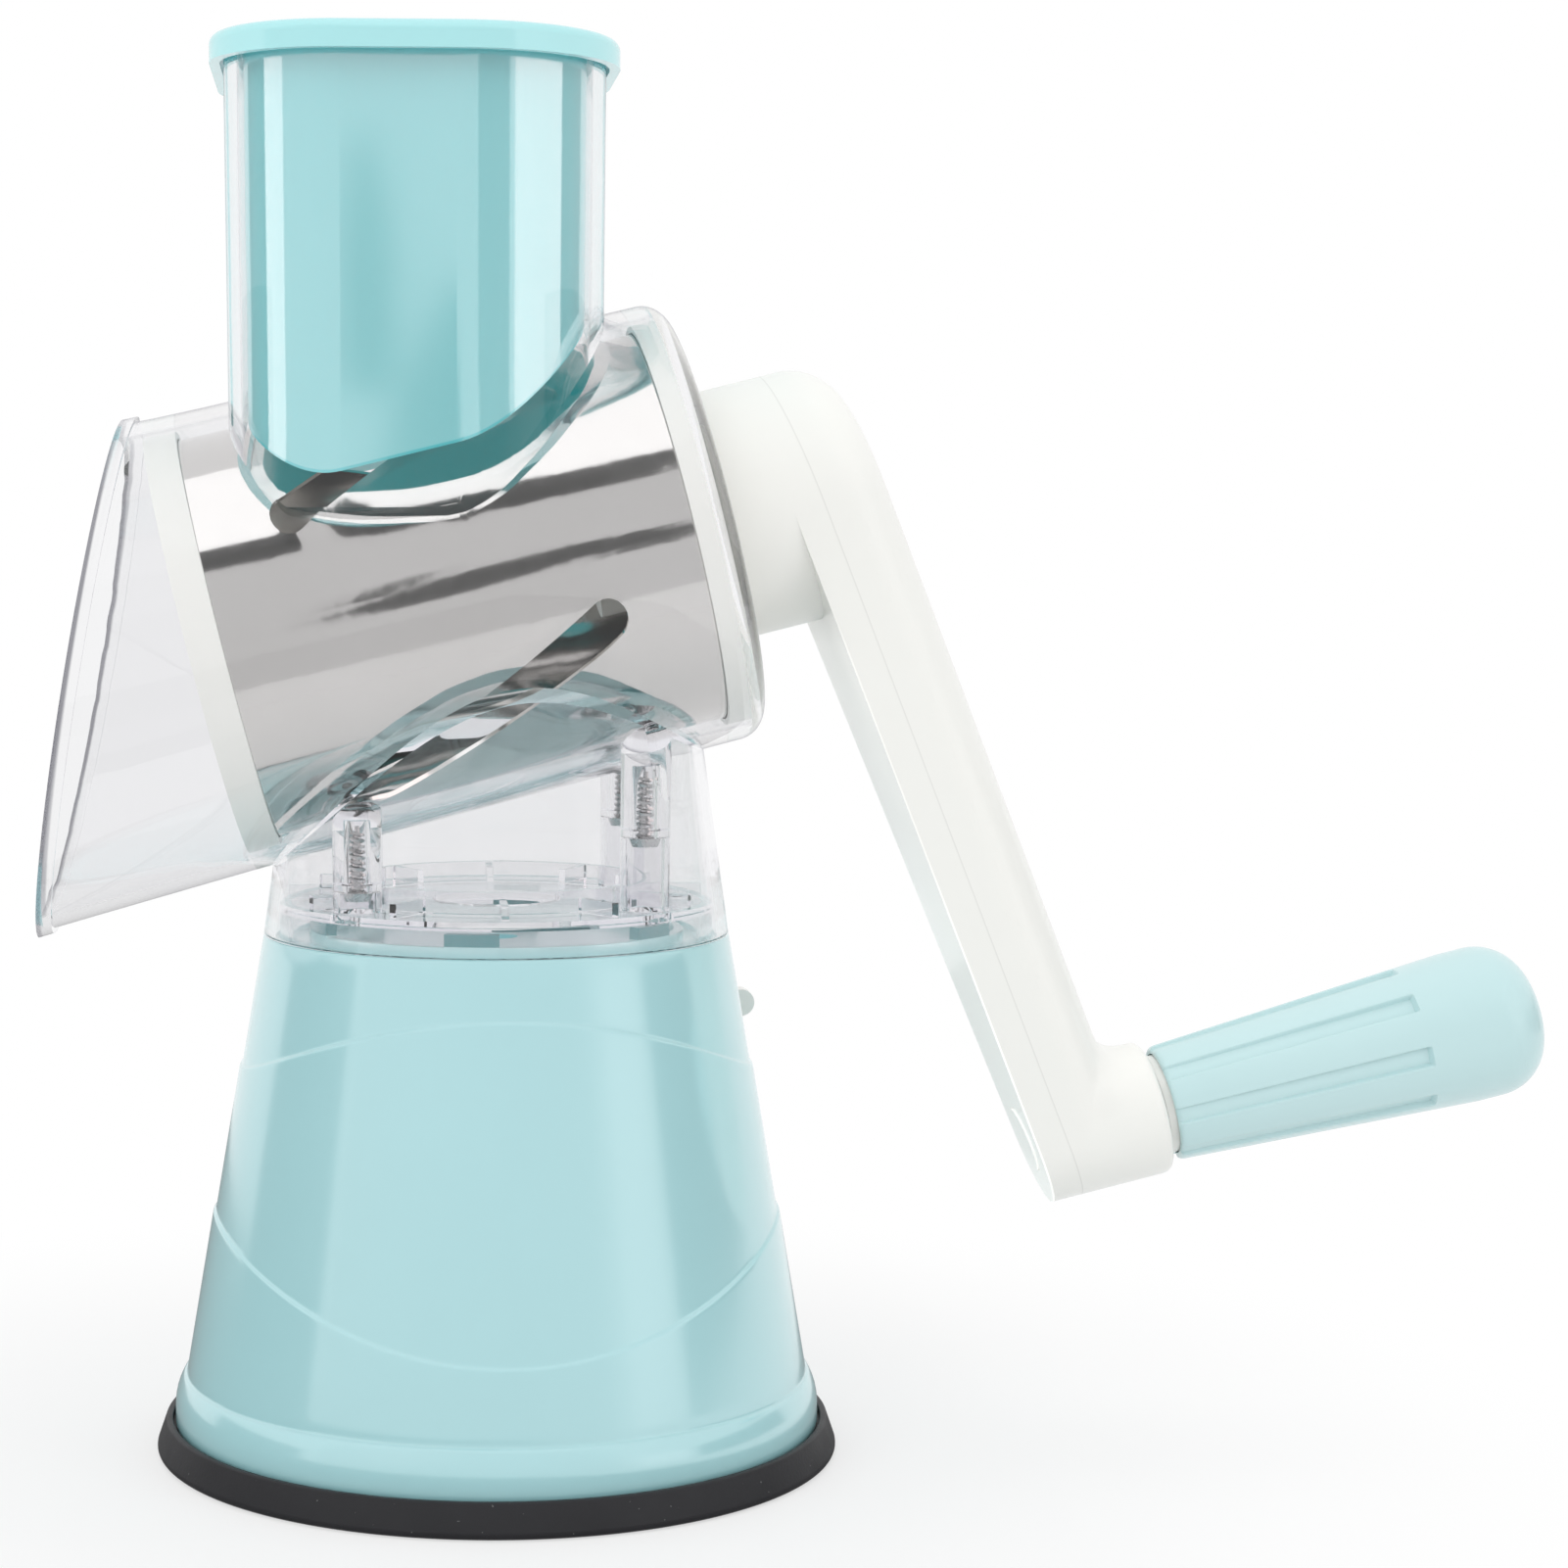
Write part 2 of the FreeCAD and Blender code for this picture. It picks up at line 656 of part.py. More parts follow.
# Pull stem: a white moulding with a foot over the cup's middle, a rod through the chassis guide
# and a yoke whose top bar rides on the cam.
foot_gap = 0.3
foot_low = cup_middle + foot_gap
foot_radius = 16.0
foot_thickness = 2.0
yoke_half = 18.4
yoke_window = 15.0
yoke_bar = 5.4
yoke_low = 32.0
window_low = 38.0
yoke_thickness = 10.0
stem = new_body("PullStem")
profile = new_sketch(stem, "XZ_Plane", "StemProfile")
outline(profile, [
    (0, cup_middle - stud_depth + foot_gap), (stud_radius, cup_middle - stud_depth + foot_gap),
    (stud_radius, foot_low), (foot_radius, foot_low), (foot_radius, foot_low + foot_thickness),
    (stem_radius, foot_low + foot_thickness), (stem_radius, yoke_low + 3), (0, yoke_low + 3),
])
revolve(stem, profile)
yoke_bar_low = shaft_height + cam_rest + running_gap
yoke = new_sketch(stem, "XZ_Plane", "YokeProfile")
box_outline(yoke, -yoke_half, yoke_half, yoke_low, yoke_bar_low + yoke_bar)
pad(stem, yoke, yoke_thickness, middle=True)
yoke_hole = new_sketch(stem, "XZ_Plane", "YokeWindow")
box_outline(yoke_hole, -yoke_window, yoke_window, window_low, yoke_bar_low)
pocket(stem, yoke_hole, yoke_thickness + 2, middle=True)
finish(stem, "pull_stem")

# Return spring: steel wire wound round the stem between its foot and the chassis guide.
spring_radius = 7.4
spring_wire = 1.2
spring_turns = 5
spring = doc.addObject("Part::Feature", "ReturnSpring")


spring_seat = foot_low + foot_thickness + spring_wire / 2


def wind_spring():
    seat = sheet.cup_thickness + cup_arch + foot_gap + foot_thickness + spring_wire / 2
    rise = sheet.guide_height - spring_wire / 2 - seat
    path = Part.Wire(Part.makeHelix(rise / spring_turns, rise, spring_radius).Edges)
    start = Vector(spring_radius, 0, 0)
    section = Part.Wire(Part.makeCircle(spring_wire / 2, start, Vector(0, 1, 0)))
    return path.makePipeShell([section], True, True)


spring.Shape = wind_spring()
spring.Placement = Placement()
bind(spring, "Placement.Base.z", spring_seat)
finish(spring, "return_spring")

# Lift cam: its working edge is an involute, so the yoke rises evenly with the lever's turn.
cam_turn = 90.0
cam_thickness = 9.0
cam_hub = 6.6
involute_steps = 8
involute_base = cam_lift / math.radians(cam_turn)


def cam_corner(angle):
    """The point of the cam that touches a flat bar square to the given direction."""
    reach = cam_rest + involute_base * math.radians(cam_turn - angle)
    across, up = math.cos(math.radians(angle)), math.sin(math.radians(angle))
    return reach * across + involute_base * up, shaft_height + reach * up - involute_base * across


cam = new_body("LiftCam")
profile = new_sketch(cam, "XZ_Plane", "CamProfile")
first_angle, last_angle = cam_turn + 8, -8
corners = []
for step in range(involute_steps * 3 + 1):
    corners.append(cam_corner(last_angle + (first_angle - last_angle) * step / (involute_steps * 3)))
corners.append((-cam_hub * 0.5, shaft_height + cam_hub * math.sqrt(0.75), cam_hub, 1))
corners.append((-cam_hub, shaft_height, cam_hub, 1))
corners.append((0, shaft_height - cam_hub))
outline(profile, corners)
pad(cam, profile, cam_thickness, middle=True)
square_hole = new_sketch(cam, "XZ_Plane", "CamSquare")
half_square = shaft_square / 2 + 0.05
box_outline(square_hole, -half_square, half_square, shaft_height - half_square, shaft_height + half_square)
pocket(cam, square_hole, cam_thickness + 2, middle=True)
finish(cam, "lift_cam")

# Cam shaft: steel, stepped so that it goes in from the back: square for the lever, round in the
# shell and the rear tower, square in the cam, and a thin round end in the front tower.
shaft = new_body("CamShaft")
front_end = tower_start + tower_thickness


def shaft_step(name, y_low, y_high, round_radius=None):
    drawing = new_sketch(shaft, "XZ_Plane", name, -as_size(y_low))
    if round_radius is None:
        half = shaft_square / 2
        box_outline(drawing, -half, half, shaft_height - half, shaft_height + half)
    else:
        circle(drawing, 0, shaft_height, round_radius)
    pad(shaft, drawing, as_size(y_high) - y_low, reverse=True)


shaft_step("FrontJournal", -front_end, -tower_start + 1, journal_radius)
shaft_step("CamSquareStep", -tower_start + 1, tower_start - 2)
shaft_step("RearJournal", tower_start - 2, lever_face + 0.2, shaft_radius)
shaft_step("LeverSquare", lever_face + 0.2, lever_face + 6)
screw_hole = new_sketch(shaft, "XZ_Plane", "LeverScrewHole", -(lever_face + 6))
circle(screw_hole, 0, shaft_height, 1.5)
pocket(shaft, screw_hole, 12, reverse=True)
finish(shaft, "cam_shaft")

# Suction lever: a white tapered lever on the back of the base.
lever_hub = 10.5
lever_tip = 2.7
lever_hub_depth = 8.0
lever_arm_depth = 5.0
lever = new_body("SuctionLever")
lever.Placement = Placement(Vector(0, 0, 0), Rotation(Vector(0, -1, 0), lever_angle.number))
bind(lever, "Placement.Rotation.Angle", lever_angle)
bind(lever, "Placement.Base.z", shaft_height)
bind(lever, "Placement.Base.y", lever_face)
hub_disc = new_sketch(lever, "XZ_Plane", "LeverHub", -0.3)
circle(hub_disc, 0, 0, lever_hub)
pad(lever, hub_disc, lever_hub_depth - 0.3, reverse=True)
arm = new_sketch(lever, "XZ_Plane", "LeverArm", -1.2)
teardrop(arm, as_size(lever_hub - 1.5), as_size(lever_tip), lever_reach - lever_tip)
pad(lever, arm, lever_arm_depth, reverse=True)
square_seat = new_sketch(lever, "XZ_Plane", "LeverSeat")
square_seat.AttachmentOffset = Placement(Vector(0, 0, 0), Rotation(Vector(0, 0, 1), -lever_angle.number))
bind(square_seat, "AttachmentOffset.Rotation.Angle", -lever_angle)
half_seat = shaft_square / 2 + 0.05
box_outline(square_seat, -half_seat, half_seat, -half_seat, half_seat)
pocket(lever, square_seat, 6.2, reverse=False)
screw_way = new_sketch(lever, "XZ_Plane", "LeverScrewWay")
circle(screw_way, 0, 0, 1.8)
pocket(lever, screw_way, lever_hub_depth + 1)
lever.Tip = lever.Group[-1]
finish(lever, "suction_lever")

lever_screw = new_body("LeverScrew")
lever_screw.Placement = Placement()
bind(lever_screw, "Placement.Base.y", lever_face + lever_hub_depth)
bind(lever_screw, "Placement.Base.z", shaft_height)
screw_head = new_sketch(lever_screw, "XZ_Plane", "LeverScrewHead")
circle(screw_head, 0, 0, 3.4)
pad(lever_screw, screw_head, 1.6, reverse=True)
screw_shank = new_sketch(lever_screw, "XZ_Plane", "LeverScrewShank")
circle(screw_shank, 0, 0, 1.4)
pad(lever_screw, screw_shank, 12)
for label, half_x, half_z in (("A", 1.9, 0.4), ("B", 0.4, 1.9)):
    cross = new_sketch(lever_screw, "XZ_Plane", "LeverScrewCross" + label, -0.6)
    box_outline(cross, -half_x, half_x, -half_z, half_z)
    pocket(lever_screw, cross, 2, reverse=False)
finish(lever_screw, "lever_screw")

# Barrel housing: one clear moulding. Its outside is barrel, spout, mouth lip, hopper and neck
# together; its inside is the room of the barrel and of the hopper, cut through the mouth.
spout_reach = 112.0
end_wall = 2.6


def barrel_at(place):
    """The barrel's outer radius at a place along its axis."""
    return barrel_radius - place * tangent(barrel_draft)


def spout_at(place):
    return barrel_at(-spout_start) + (-spout_start - place) * tangent(spout_flare)


barrel_skin = lean(new_body("BarrelSkin"), axis_tilt)
profile = new_sketch(barrel_skin, "XZ_Plane", "BarrelSkinProfile")
edge_start = barrel_back - barrel_edge
outline(profile, [
    (-spout_reach, 0), (barrel_back, 0), (barrel_back, barrel_at(edge_start) - barrel_edge, barrel_edge, 1),
    (edge_start, barrel_at(edge_start)), (-spout_start, barrel_at(-spout_start)),
    (-spout_reach, spout_at(-spout_reach)),
])
revolve(barrel_skin, profile, "H_Axis")

barrel_room = lean(new_body("BarrelRoom"), axis_tilt)
profile = new_sketch(barrel_room, "XZ_Plane", "BarrelRoomProfile")
room_back = barrel_back - end_wall
outline(profile, [
    (-spout_reach - 1, 0), (room_back, 0), (room_back, barrel_at(room_back) - clear_wall - 1.2),
    (room_back - 1.2, barrel_at(room_back - 1.2) - clear_wall),
    (-spout_start, barrel_at(-spout_start) - clear_wall),
    (-spout_reach - 1, spout_at(-spout_reach - 1) - clear_wall),
])
revolve(barrel_room, profile, "H_Axis")

lip_skin = lean(new_body("LipSkin"), axis_tilt)
profile = new_sketch(lip_skin, "XZ_Plane", "LipSkinProfile")
outline(profile, [
    (-spout_reach, 0), (-spout_start, 0), (-spout_start, barrel_at(-spout_start) + lip_proud),
    (-spout_reach, spout_at(-spout_reach) + lip_proud),
])
revolve(lip_skin, profile, "H_Axis")


def mouth_slab(name, x_low, x_high):
    """A slab along the mouth's plane, which leans to the right as it rises."""
    slab = new_body(name)
    slab.Placement = Placement(Vector(0, 0, 0), Rotation(Vector(0, 1, 0), mouth_lean.number))
    bind(slab, "Placement.Rotation.Angle", mouth_lean)
    bind(slab, "Placement.Base.x", -mouth_back)
    bind(slab, "Placement.Base.z", axis_height)
    drawing = new_sketch(slab, "XZ_Plane", name + "Profile")
    box_outline(drawing, x_low, x_high, -spout_reach, spout_reach)
    pad(slab, drawing, barrel_radius * 3, middle=True)
    return slab


mouth_lip = combine("MultiCommon", "MouthLip", lip_skin, mouth_slab("LipSlab", 0, lip_width))
mouth_cut = mouth_slab("MouthCut", -spout_reach, 0)


def hopper_block(name, inset, low, high):
    """The hopper's rounded outline, drawn in by an inset and opening upwards by its draft."""
    part = new_body(name)
    drawing = new_sketch(part, "XY_Plane", name + "Profile", low)
    spread = (as_size(low) - hopper_foot) * tangent(hopper_draft)
    rounded_box(
        drawing, -hopper_centre, hopper_length / 2 - inset + spread, hopper_depth / 2 - inset + spread,
        hopper_corner - inset + spread, hopper_far_corner - inset + spread)
    pad(part, drawing, as_size(high) - low, taper=hopper_draft)
    return part


hopper_skin = hopper_block("HopperSkin", as_size(0), hopper_foot, hopper_top)
hopper_room = hopper_block("HopperRoom", clear_wall, hopper_foot, hopper_top + 1)


def neck_at(height):
    """The neck's outer radius at a height."""
    return neck_radius - (height - neck_height) * tangent(neck_slope)


neck_tube_top = axis_height - barrel_radius * 0.33
neck = new_body("NeckWall")
profile = new_sketch(neck, "XZ_Plane", "NeckWallProfile")
outline(profile, [
    (neck_radius - neck_wall, neck_height), (neck_radius, neck_height),
    (neck_at(neck_tube_top), neck_tube_top), (neck_at(neck_tube_top) - neck_wall, neck_tube_top),
])
revolve(neck, profile)

# Screw bosses hang from the barrel over the plate's posts: low ones at the spout, high ones at
# the crank. Each has a pilot hole for its screw.
screw_length = 11.5
screw_seat = 1.5
screw_places = []
for side_x, top in ((-1, low_post_top), (1, high_post_top)):
    for side_y in (-1, 1):
        screw_places.append((screw_reach_x * side_x, screw_reach_y * side_y, top))
bosses = []
pilots = []
for number, (x, y, top) in enumerate(screw_places):
    bosses.append(upright("HousingBoss%d" % number, x, y, top, neck_tube_top, post_radius))
    pilots.append(upright("HousingPilot%d" % number, x, y, top - 1, top + screw_length, 1.6))

sleeve_start = 36.4
sleeve_radius = 14.6
journal = 12.0
sleeve = lean(new_body("BearingSleeve"), axis_tilt)
profile = new_sketch(sleeve, "XZ_Plane", "SleeveProfile")
box_outline(profile, sleeve_start, barrel_back - 1, journal - 0.5, sleeve_radius)
revolve(sleeve, profile, "H_Axis")
bore = lean(new_body("BearingBore"), axis_tilt)
profile = new_sketch(bore, "XZ_Plane", "BoreProfile")
box_outline(profile, sleeve_start - 1, barrel_back + 1, 0, journal + running_gap)
revolve(bore, profile, "H_Axis")

housing_walls = combine(
    "MultiFuse", "HousingWalls", barrel_skin, mouth_lip, hopper_skin, neck, *bosses)
housing_rooms = combine("MultiFuse", "HousingRooms", barrel_room, hopper_room, mouth_cut, *pilots)
housing_open = combine("Cut", "HousingOpen", housing_walls, housing_rooms)
housing_bearing = combine("MultiFuse", "HousingBearing", housing_open, sleeve)
finish(combine("Cut", "BarrelHousing", housing_bearing, bore), "barrel_housing")

# Neck plate: clear. A floor with a skirt that stands on the deck, a ring of ribs, a bayonet ring
# that fits inside the deck's tabs, and four hollow posts for the screws.
floor_low = plate_ring_top - plate_floor
skirt_radius = neck_at(plate_ring_top) - neck_wall - sliding_gap
plate = new_body("PlateTurned")
profile = new_sketch(plate, "XZ_Plane", "PlateProfile")
outline(profile, [
    (12, floor_low), (skirt_radius - 2, floor_low), (skirt_radius - 2, deck_top),
    (skirt_radius, deck_top), (skirt_radius, plate_ring_top), (28.4, plate_ring_top),
    (28.4, plate_ring_top + 4), (27, plate_ring_top + 4), (27, plate_ring_top), (12, plate_ring_top),
])
revolve(plate, profile)
bayonet_ring = new_sketch(plate, "XZ_Plane", "BayonetRingProfile")
box_outline(bayonet_ring, collar_radius - 4.2, collar_radius - 2.4, deck_top + 1, floor_low + 0.5)
revolve(plate, bayonet_ring)
rib = new_sketch(plate, "XZ_Plane", "RibProfile")
box_outline(rib, 27.6, skirt_radius - 1.5, plate_ring_top - 0.5, plate_ring_top + 2.6)
rib_pad = pad(plate, rib, 1.3, middle=True)
ring_of(plate, rib_pad, rib, "V_Axis", 12)
posts = []
post_holes = []
for number, (x, y, top) in enumerate(screw_places):
    posts.append(upright("PlatePost%d" % number, x, y, floor_low, top, post_radius))
    post_holes.append(upright("PostHollow%d" % number, x, y, floor_low - 1, top - screw_seat, 3.1))
    post_holes.append(upright("PostHole%d" % number, x, y, top - screw_seat - 1, top + 1, 1.8))
plate_solid = combine("MultiFuse", "PlateSolid", plate, *posts)
post_spaces = combine("MultiFuse", "PostSpaces", *post_holes)
finish(combine("Cut", "NeckPlate", plate_solid, post_spaces), "neck_plate")

body_screw_head = 1.6
body_screws = []
for number, (x, y, top) in enumerate(screw_places):
    body_screws.append(screw_shape(
        "BodyScrew%d" % number, x, y, top - screw_seat - body_screw_head, 2.8, body_screw_head,
        1.45, top + screw_length - 1))
group("BodyScrews", "body_screws", body_screws)

# Pusher: an aqua cup. Its wall follows the hopper, its foot is hollowed to the drum, and its rim
# lies on the hopper's edge and hangs down outside it.
pusher_inset = clear_wall + pusher_gap
foot_radius_on_drum = drum_radius + pusher_drum_gap


def drum_cylinder(name, radius):
    shape = lean(new_body(name), axis_tilt)
    drawing = new_sketch(shape, "YZ_Plane", name + "Profile")
    circle(drawing, 0, 0, radius)
    pad(shape, drawing, barrel_back * 4, middle=True)
    return shape


cup_foot = axis_height
cup_wall = combine(
    "Cut", "PusherWall", hopper_block("PusherBlock", pusher_inset, cup_foot, rim_top),
    drum_cylinder("PusherFoot", foot_radius_on_drum))
cup_space = combine(
    "Cut", "PusherSpace",
    hopper_block("PusherSpaceBlock", pusher_inset + pusher_wall, cup_foot, rim_top + 1),
    drum_cylinder("PusherFloor", foot_radius_on_drum + pusher_wall))


def rim_block(name, inset, low, high):
    part = new_body(name)
    drawing = new_sketch(part, "XY_Plane", name + "Profile", low)
    spread = (hopper_top - hopper_foot) * tangent(hopper_draft) + rim_overhang - inset
    rounded_box(
        drawing, -hopper_centre, hopper_length / 2 + spread, hopper_depth / 2 + spread,
        hopper_corner + spread, hopper_far_corner + spread)
    pad(part, drawing, as_size(high) - low)
    return part


rim_wall = rim_overhang - rim_gap
rim_outside = rim_block("RimOutside", 0, rim_top - rim_drop, rim_top)
doc.recompute()
rim_pad = rim_outside.Tip
top_edges = []
for index, edge in enumerate(rim_pad.Shape.Edges, 1):
    if abs(edge.BoundBox.ZMin - rim_top.number) < 0.01:
        top_edges.append("Edge%d" % index)
rim_round = rim_outside.newObject("PartDesign::Fillet", "RimRound")
rim_round.Base = (rim_pad, top_edges)
bind(rim_round, "Radius", rim_wall)
rim_outside.Tip = rim_round
rim_inside = rim_block("RimInside", rim_wall, rim_top - rim_drop - 1, hopper_top)
rim = combine("Cut", "PusherRim", rim_outside, rim_inside)
pusher_solid = combine("MultiFuse", "PusherSolid", cup_wall, rim)
finish(combine("Cut", "Pusher", pusher_solid, cup_space), "pusher")

# Drum: a thin polished steel tube with four slanted slicing slots, a white plastic ring on its
# front edge and a white cap with a six-sided socket on its back edge.
drum_back = steel_back + 2.9
cap_back = drum_back + 1.2


def drum_at(place):
    """The drum's outer radius at a place along its axis."""
    return drum_radius - place * tangent(drum_draft)


shell = lean(new_body("DrumShell"), axis_tilt)
profile = new_sketch(shell, "XZ_Plane", "DrumShellProfile")
outline(profile, [
    (-drum_front, drum_at(-drum_front) - drum_wall), (drum_back, drum_at(drum_back) - drum_wall),
    (drum_back, drum_at(drum_back)), (-drum_front, drum_at(-drum_front)),
])
revolve(shell, profile, "H_Axis")
slot = new_sketch(shell, "XZ_Plane", "DrumSlot")
slot.AttachmentOffset = Placement(Vector(0, 0, 0), Rotation(Vector(1, 0, 0), slot_phase.number))
bind(slot, "AttachmentOffset.Rotation.Angle", slot_phase)
slot_round = slot_width / 2
straight = slot_length / 2 - slot_round
along_x, along_y = straight * cosine(slot_slant), straight * sine(slot_slant)
tip_x, tip_y = slot_length / 2 * cosine(slot_slant), slot_length / 2 * sine(slot_slant)
side_x, side_y = slot_round * sine(slot_slant), slot_round * cosine(slot_slant)
outline(slot, [
    (along_x + side_x - slot_middle, along_y - side_y, slot_round, 1),
    (tip_x - slot_middle, tip_y, slot_round, 1),
    (along_x - side_x - slot_middle, along_y + side_y),
    (-along_x - side_x - slot_middle, -along_y + side_y, slot_round, 1),
    (-tip_x - slot_middle, -tip_y, slot_round, 1),
    (-along_x + side_x - slot_middle, -along_y - side_y),
])
slot_cut = pocket(shell, slot, drum_radius + 5, reverse=True)
ring_of(shell, slot_cut, slot, "H_Axis", slot_count)
finish(shell, "drum_shell")

ring_flange = 1.2
ring_radius = barrel_at(-drum_front) - clear_wall - ring_gap
front_ring = lean(new_body("DrumFrontRing"), axis_tilt)
profile = new_sketch(front_ring, "XZ_Plane", "FrontRingProfile")
inside_ring = drum_at(-drum_front) - drum_wall - sliding_gap
outline(profile, [
    (-drum_front - ring_flange, inside_ring - 1.3), (-steel_front - 1, inside_ring - 1.3),
    (-steel_front - 1, inside_ring), (-drum_front, inside_ring),
    (-drum_front, drum_at(-drum_front) + sliding_gap), (-steel_front, drum_at(-drum_front) + sliding_gap),
    (-steel_front, ring_radius), (-drum_front - ring_flange, ring_radius),
])
revolve(front_ring, profile, "H_Axis")
finish(front_ring, "drum_front_ring")

socket_flats = 14.6
socket_start = 18.5
cap_hub = 13.0
cap_rim = drum_at(steel_back) + 1.3
cap_disc = 34.0
cap = lean(new_body("DrumRearCap"), axis_tilt)
profile = new_sketch(cap, "XZ_Plane", "RearCapProfile")
inside_cap = drum_at(drum_back) - drum_wall - sliding_gap
disc_back = 36.2
outline(profile, [
    (socket_start - 1.5, 0), (socket_start - 1.5, cap_hub), (cap_disc, cap_hub), (cap_disc, inside_cap),
    (drum_back, inside_cap), (drum_back, drum_at(steel_back) + sliding_gap),
    (steel_back, drum_at(steel_back) + sliding_gap), (steel_back, cap_rim), (cap_back, cap_rim),
    (cap_back, inside_cap - 1.6), (disc_back, inside_cap - 1.6), (disc_back, 0),
])
revolve(cap, profile, "H_Axis")


def hexagon(drawing, flats):
    corner = flats / math.sqrt(3)
    outline(drawing, [
        (flats / 2, -corner / 2), (flats / 2, corner / 2), (0, corner),
        (-flats / 2, corner / 2), (-flats / 2, -corner / 2), (0, -corner),
    ])


socket = new_sketch(cap, "YZ_Plane", "RearCapSocket", disc_back)
hexagon(socket, socket_flats)
pocket(cap, socket, disc_back - socket_start)
finish(cap, "drum_rear_cap")

# Drive shaft: a six-sided end for the drum's socket, a round journal in the housing's sleeve and
# a flange and short tail in the crank's hub, where one screw clamps it.
web_low = 47.0
web_high = 50.0
shaft_hex = 14.0
drive = lean(new_body("DriveShaft"), axis_tilt)
hex_end = new_sketch(drive, "YZ_Plane", "DriveHex", socket_start + 1.5)
hexagon(hex_end, shaft_hex)
pad(drive, hex_end, disc_back - socket_start)


def drive_step(name, low, high, radius):
    drawing = new_sketch(drive, "YZ_Plane", name, low)
    circle(drawing, 0, 0, radius)
    pad(drive, drawing, as_size(high) - low)


drive_step("DriveJournal", disc_back, crank_start + 0.4, journal)
drive_step("DriveFlange", crank_start + 0.3, web_low, 15.0)
drive_step("DriveTail", web_low - 0.5, web_high - 0.2, 6.0)
drive_pilot = new_sketch(drive, "YZ_Plane", "DrivePilot", web_high - 0.2)
circle(drive_pilot, 0, 0, 2.1)
pocket(drive, drive_pilot, 16)
finish(drive, "drive_shaft")

drive_screw = lean(new_body("DriveScrew"), axis_tilt)
drawing = new_sketch(drive_screw, "YZ_Plane", "DriveScrewHead", web_high)
circle(drawing, 0, 0, 8.0)
pad(drive_screw, drawing, 2.6)
drawing = new_sketch(drive_screw, "YZ_Plane", "DriveScrewShank", web_high - 14)
circle(drawing, 0, 0, 2.0)
pad(drive_screw, drawing, 14.5)
for label, half_y, half_u in (("A", 2.6, 0.5), ("B", 0.5, 2.6)):
    drawing = new_sketch(drive_screw, "YZ_Plane", "DriveScrewCross" + label, web_high + 2.6)
    box_outline(drawing, -half_y, half_y, -half_u, half_u)
    pocket(drive_screw, drawing, 1.6)
finish(drive_screw, "drive_screw")

# Crank: two white hollow halves that snap together along the seam. Seen along the barrel's axis
# its outline is a drop: the hub's circle and the knob end's circle joined by their tangents.
crank_far = 112.0
arm_tilt = axis_tilt + arm_splay


def rod(name, low, high, radius, drop=0):
    """A cylinder along the barrel's axis, or below it by a drop."""
    shape = lean(new_body(name), axis_tilt)
    drawing = new_sketch(shape, "YZ_Plane", name + "Circle", low)
    circle(drawing, 0, -as_size(drop), radius)
    pad(shape, drawing, as_size(high) - low)
    return shape


def arm_slab(name, near, far):
    """The room between two splayed planes, named by where they cross the barrel's axis."""
    slab = lean(new_body(name), arm_tilt, near)
    drawing = new_sketch(slab, "XZ_Plane", name + "Side")
    box_outline(drawing, 0, (as_size(far) - near) * cosine(arm_splay), -crank_reach - 40, hub_radius * 2)
    pad(slab, drawing, hub_radius * 3, middle=True)
    return slab


def drop_prism(name, inset, low, high):
    shape = lean(new_body(name), axis_tilt)
    drawing = new_sketch(shape, "YZ_Plane", name + "Drop", low)
    teardrop(drawing, hub_radius - inset, arm_end_radius - inset, crank_reach, across=True)
    pad(shape, drawing, as_size(high) - low)
    return shape


inner_arm = combine(
    "MultiCommon", "InnerArm", drop_prism("InnerDrop", 0, crank_start, crank_far),
    arm_slab("InnerSlab", arm_inner, arm_seam))
inner_hub = combine(
    "MultiCommon", "InnerHub", rod("InnerHubRod", crank_start, crank_far, hub_radius),
    arm_slab("UnderSeam", crank_start - 40, arm_seam))
axle_boss_radius = 8.0
axle_boss = combine(
    "MultiCommon", "AxleBoss", rod("AxleBossRod", crank_start, crank_far, axle_boss_radius, crank_reach),
    arm_slab("AxleBossSlab", arm_inner, arm_seam))
inner_room = combine(
    "MultiCommon", "InnerRoom", drop_prism("InnerRoomDrop", arm_wall, crank_start, crank_far),
    arm_slab("InnerRoomSlab", arm_inner + arm_wall / cosine(arm_splay), arm_seam + 5))
hub_room = combine(
    "MultiCommon", "HubRoom", rod("HubRoomRod", web_high, crank_far, hub_radius - arm_wall - 0.1),
    arm_slab("HubRoomSlab", crank_start - 40, arm_seam + 5))
hub_mouth = rod("HubMouth", crank_start - 1, web_low, hub_radius - arm_wall - 0.1)
tail_hole = rod("TailHole", web_low - 1, web_high + 1, 6.3)
inner_open = combine(
    "Cut", "InnerOpen", combine("MultiFuse", "InnerSolid", inner_arm, inner_hub),
    combine("MultiFuse", "InnerRooms", inner_room, hub_room, hub_mouth, tail_hole))
axle_radius = 2.9
head_low = 73.6
head_high = 75.4
head_bore = rod("HeadBore", arm_inner, head_high, 5.3, crank_reach)
axle_bore = rod("AxleBore", arm_inner, crank_far, axle_radius + running_gap, crank_reach)
cap_depth = 1.2
end_cap_radius = 6.2


def arm_disc(name, near, far, radius):
    """A disc square to the arm's face, at the knob's axis."""
    disc = lean(new_body(name), arm_tilt, arm_inner)
    drawing = new_sketch(disc, "YZ_Plane", name + "Circle", near)
    circle(drawing, 0, -crank_reach / cosine(arm_splay), radius)
    pad(disc, drawing, as_size(far) - near)
    return disc


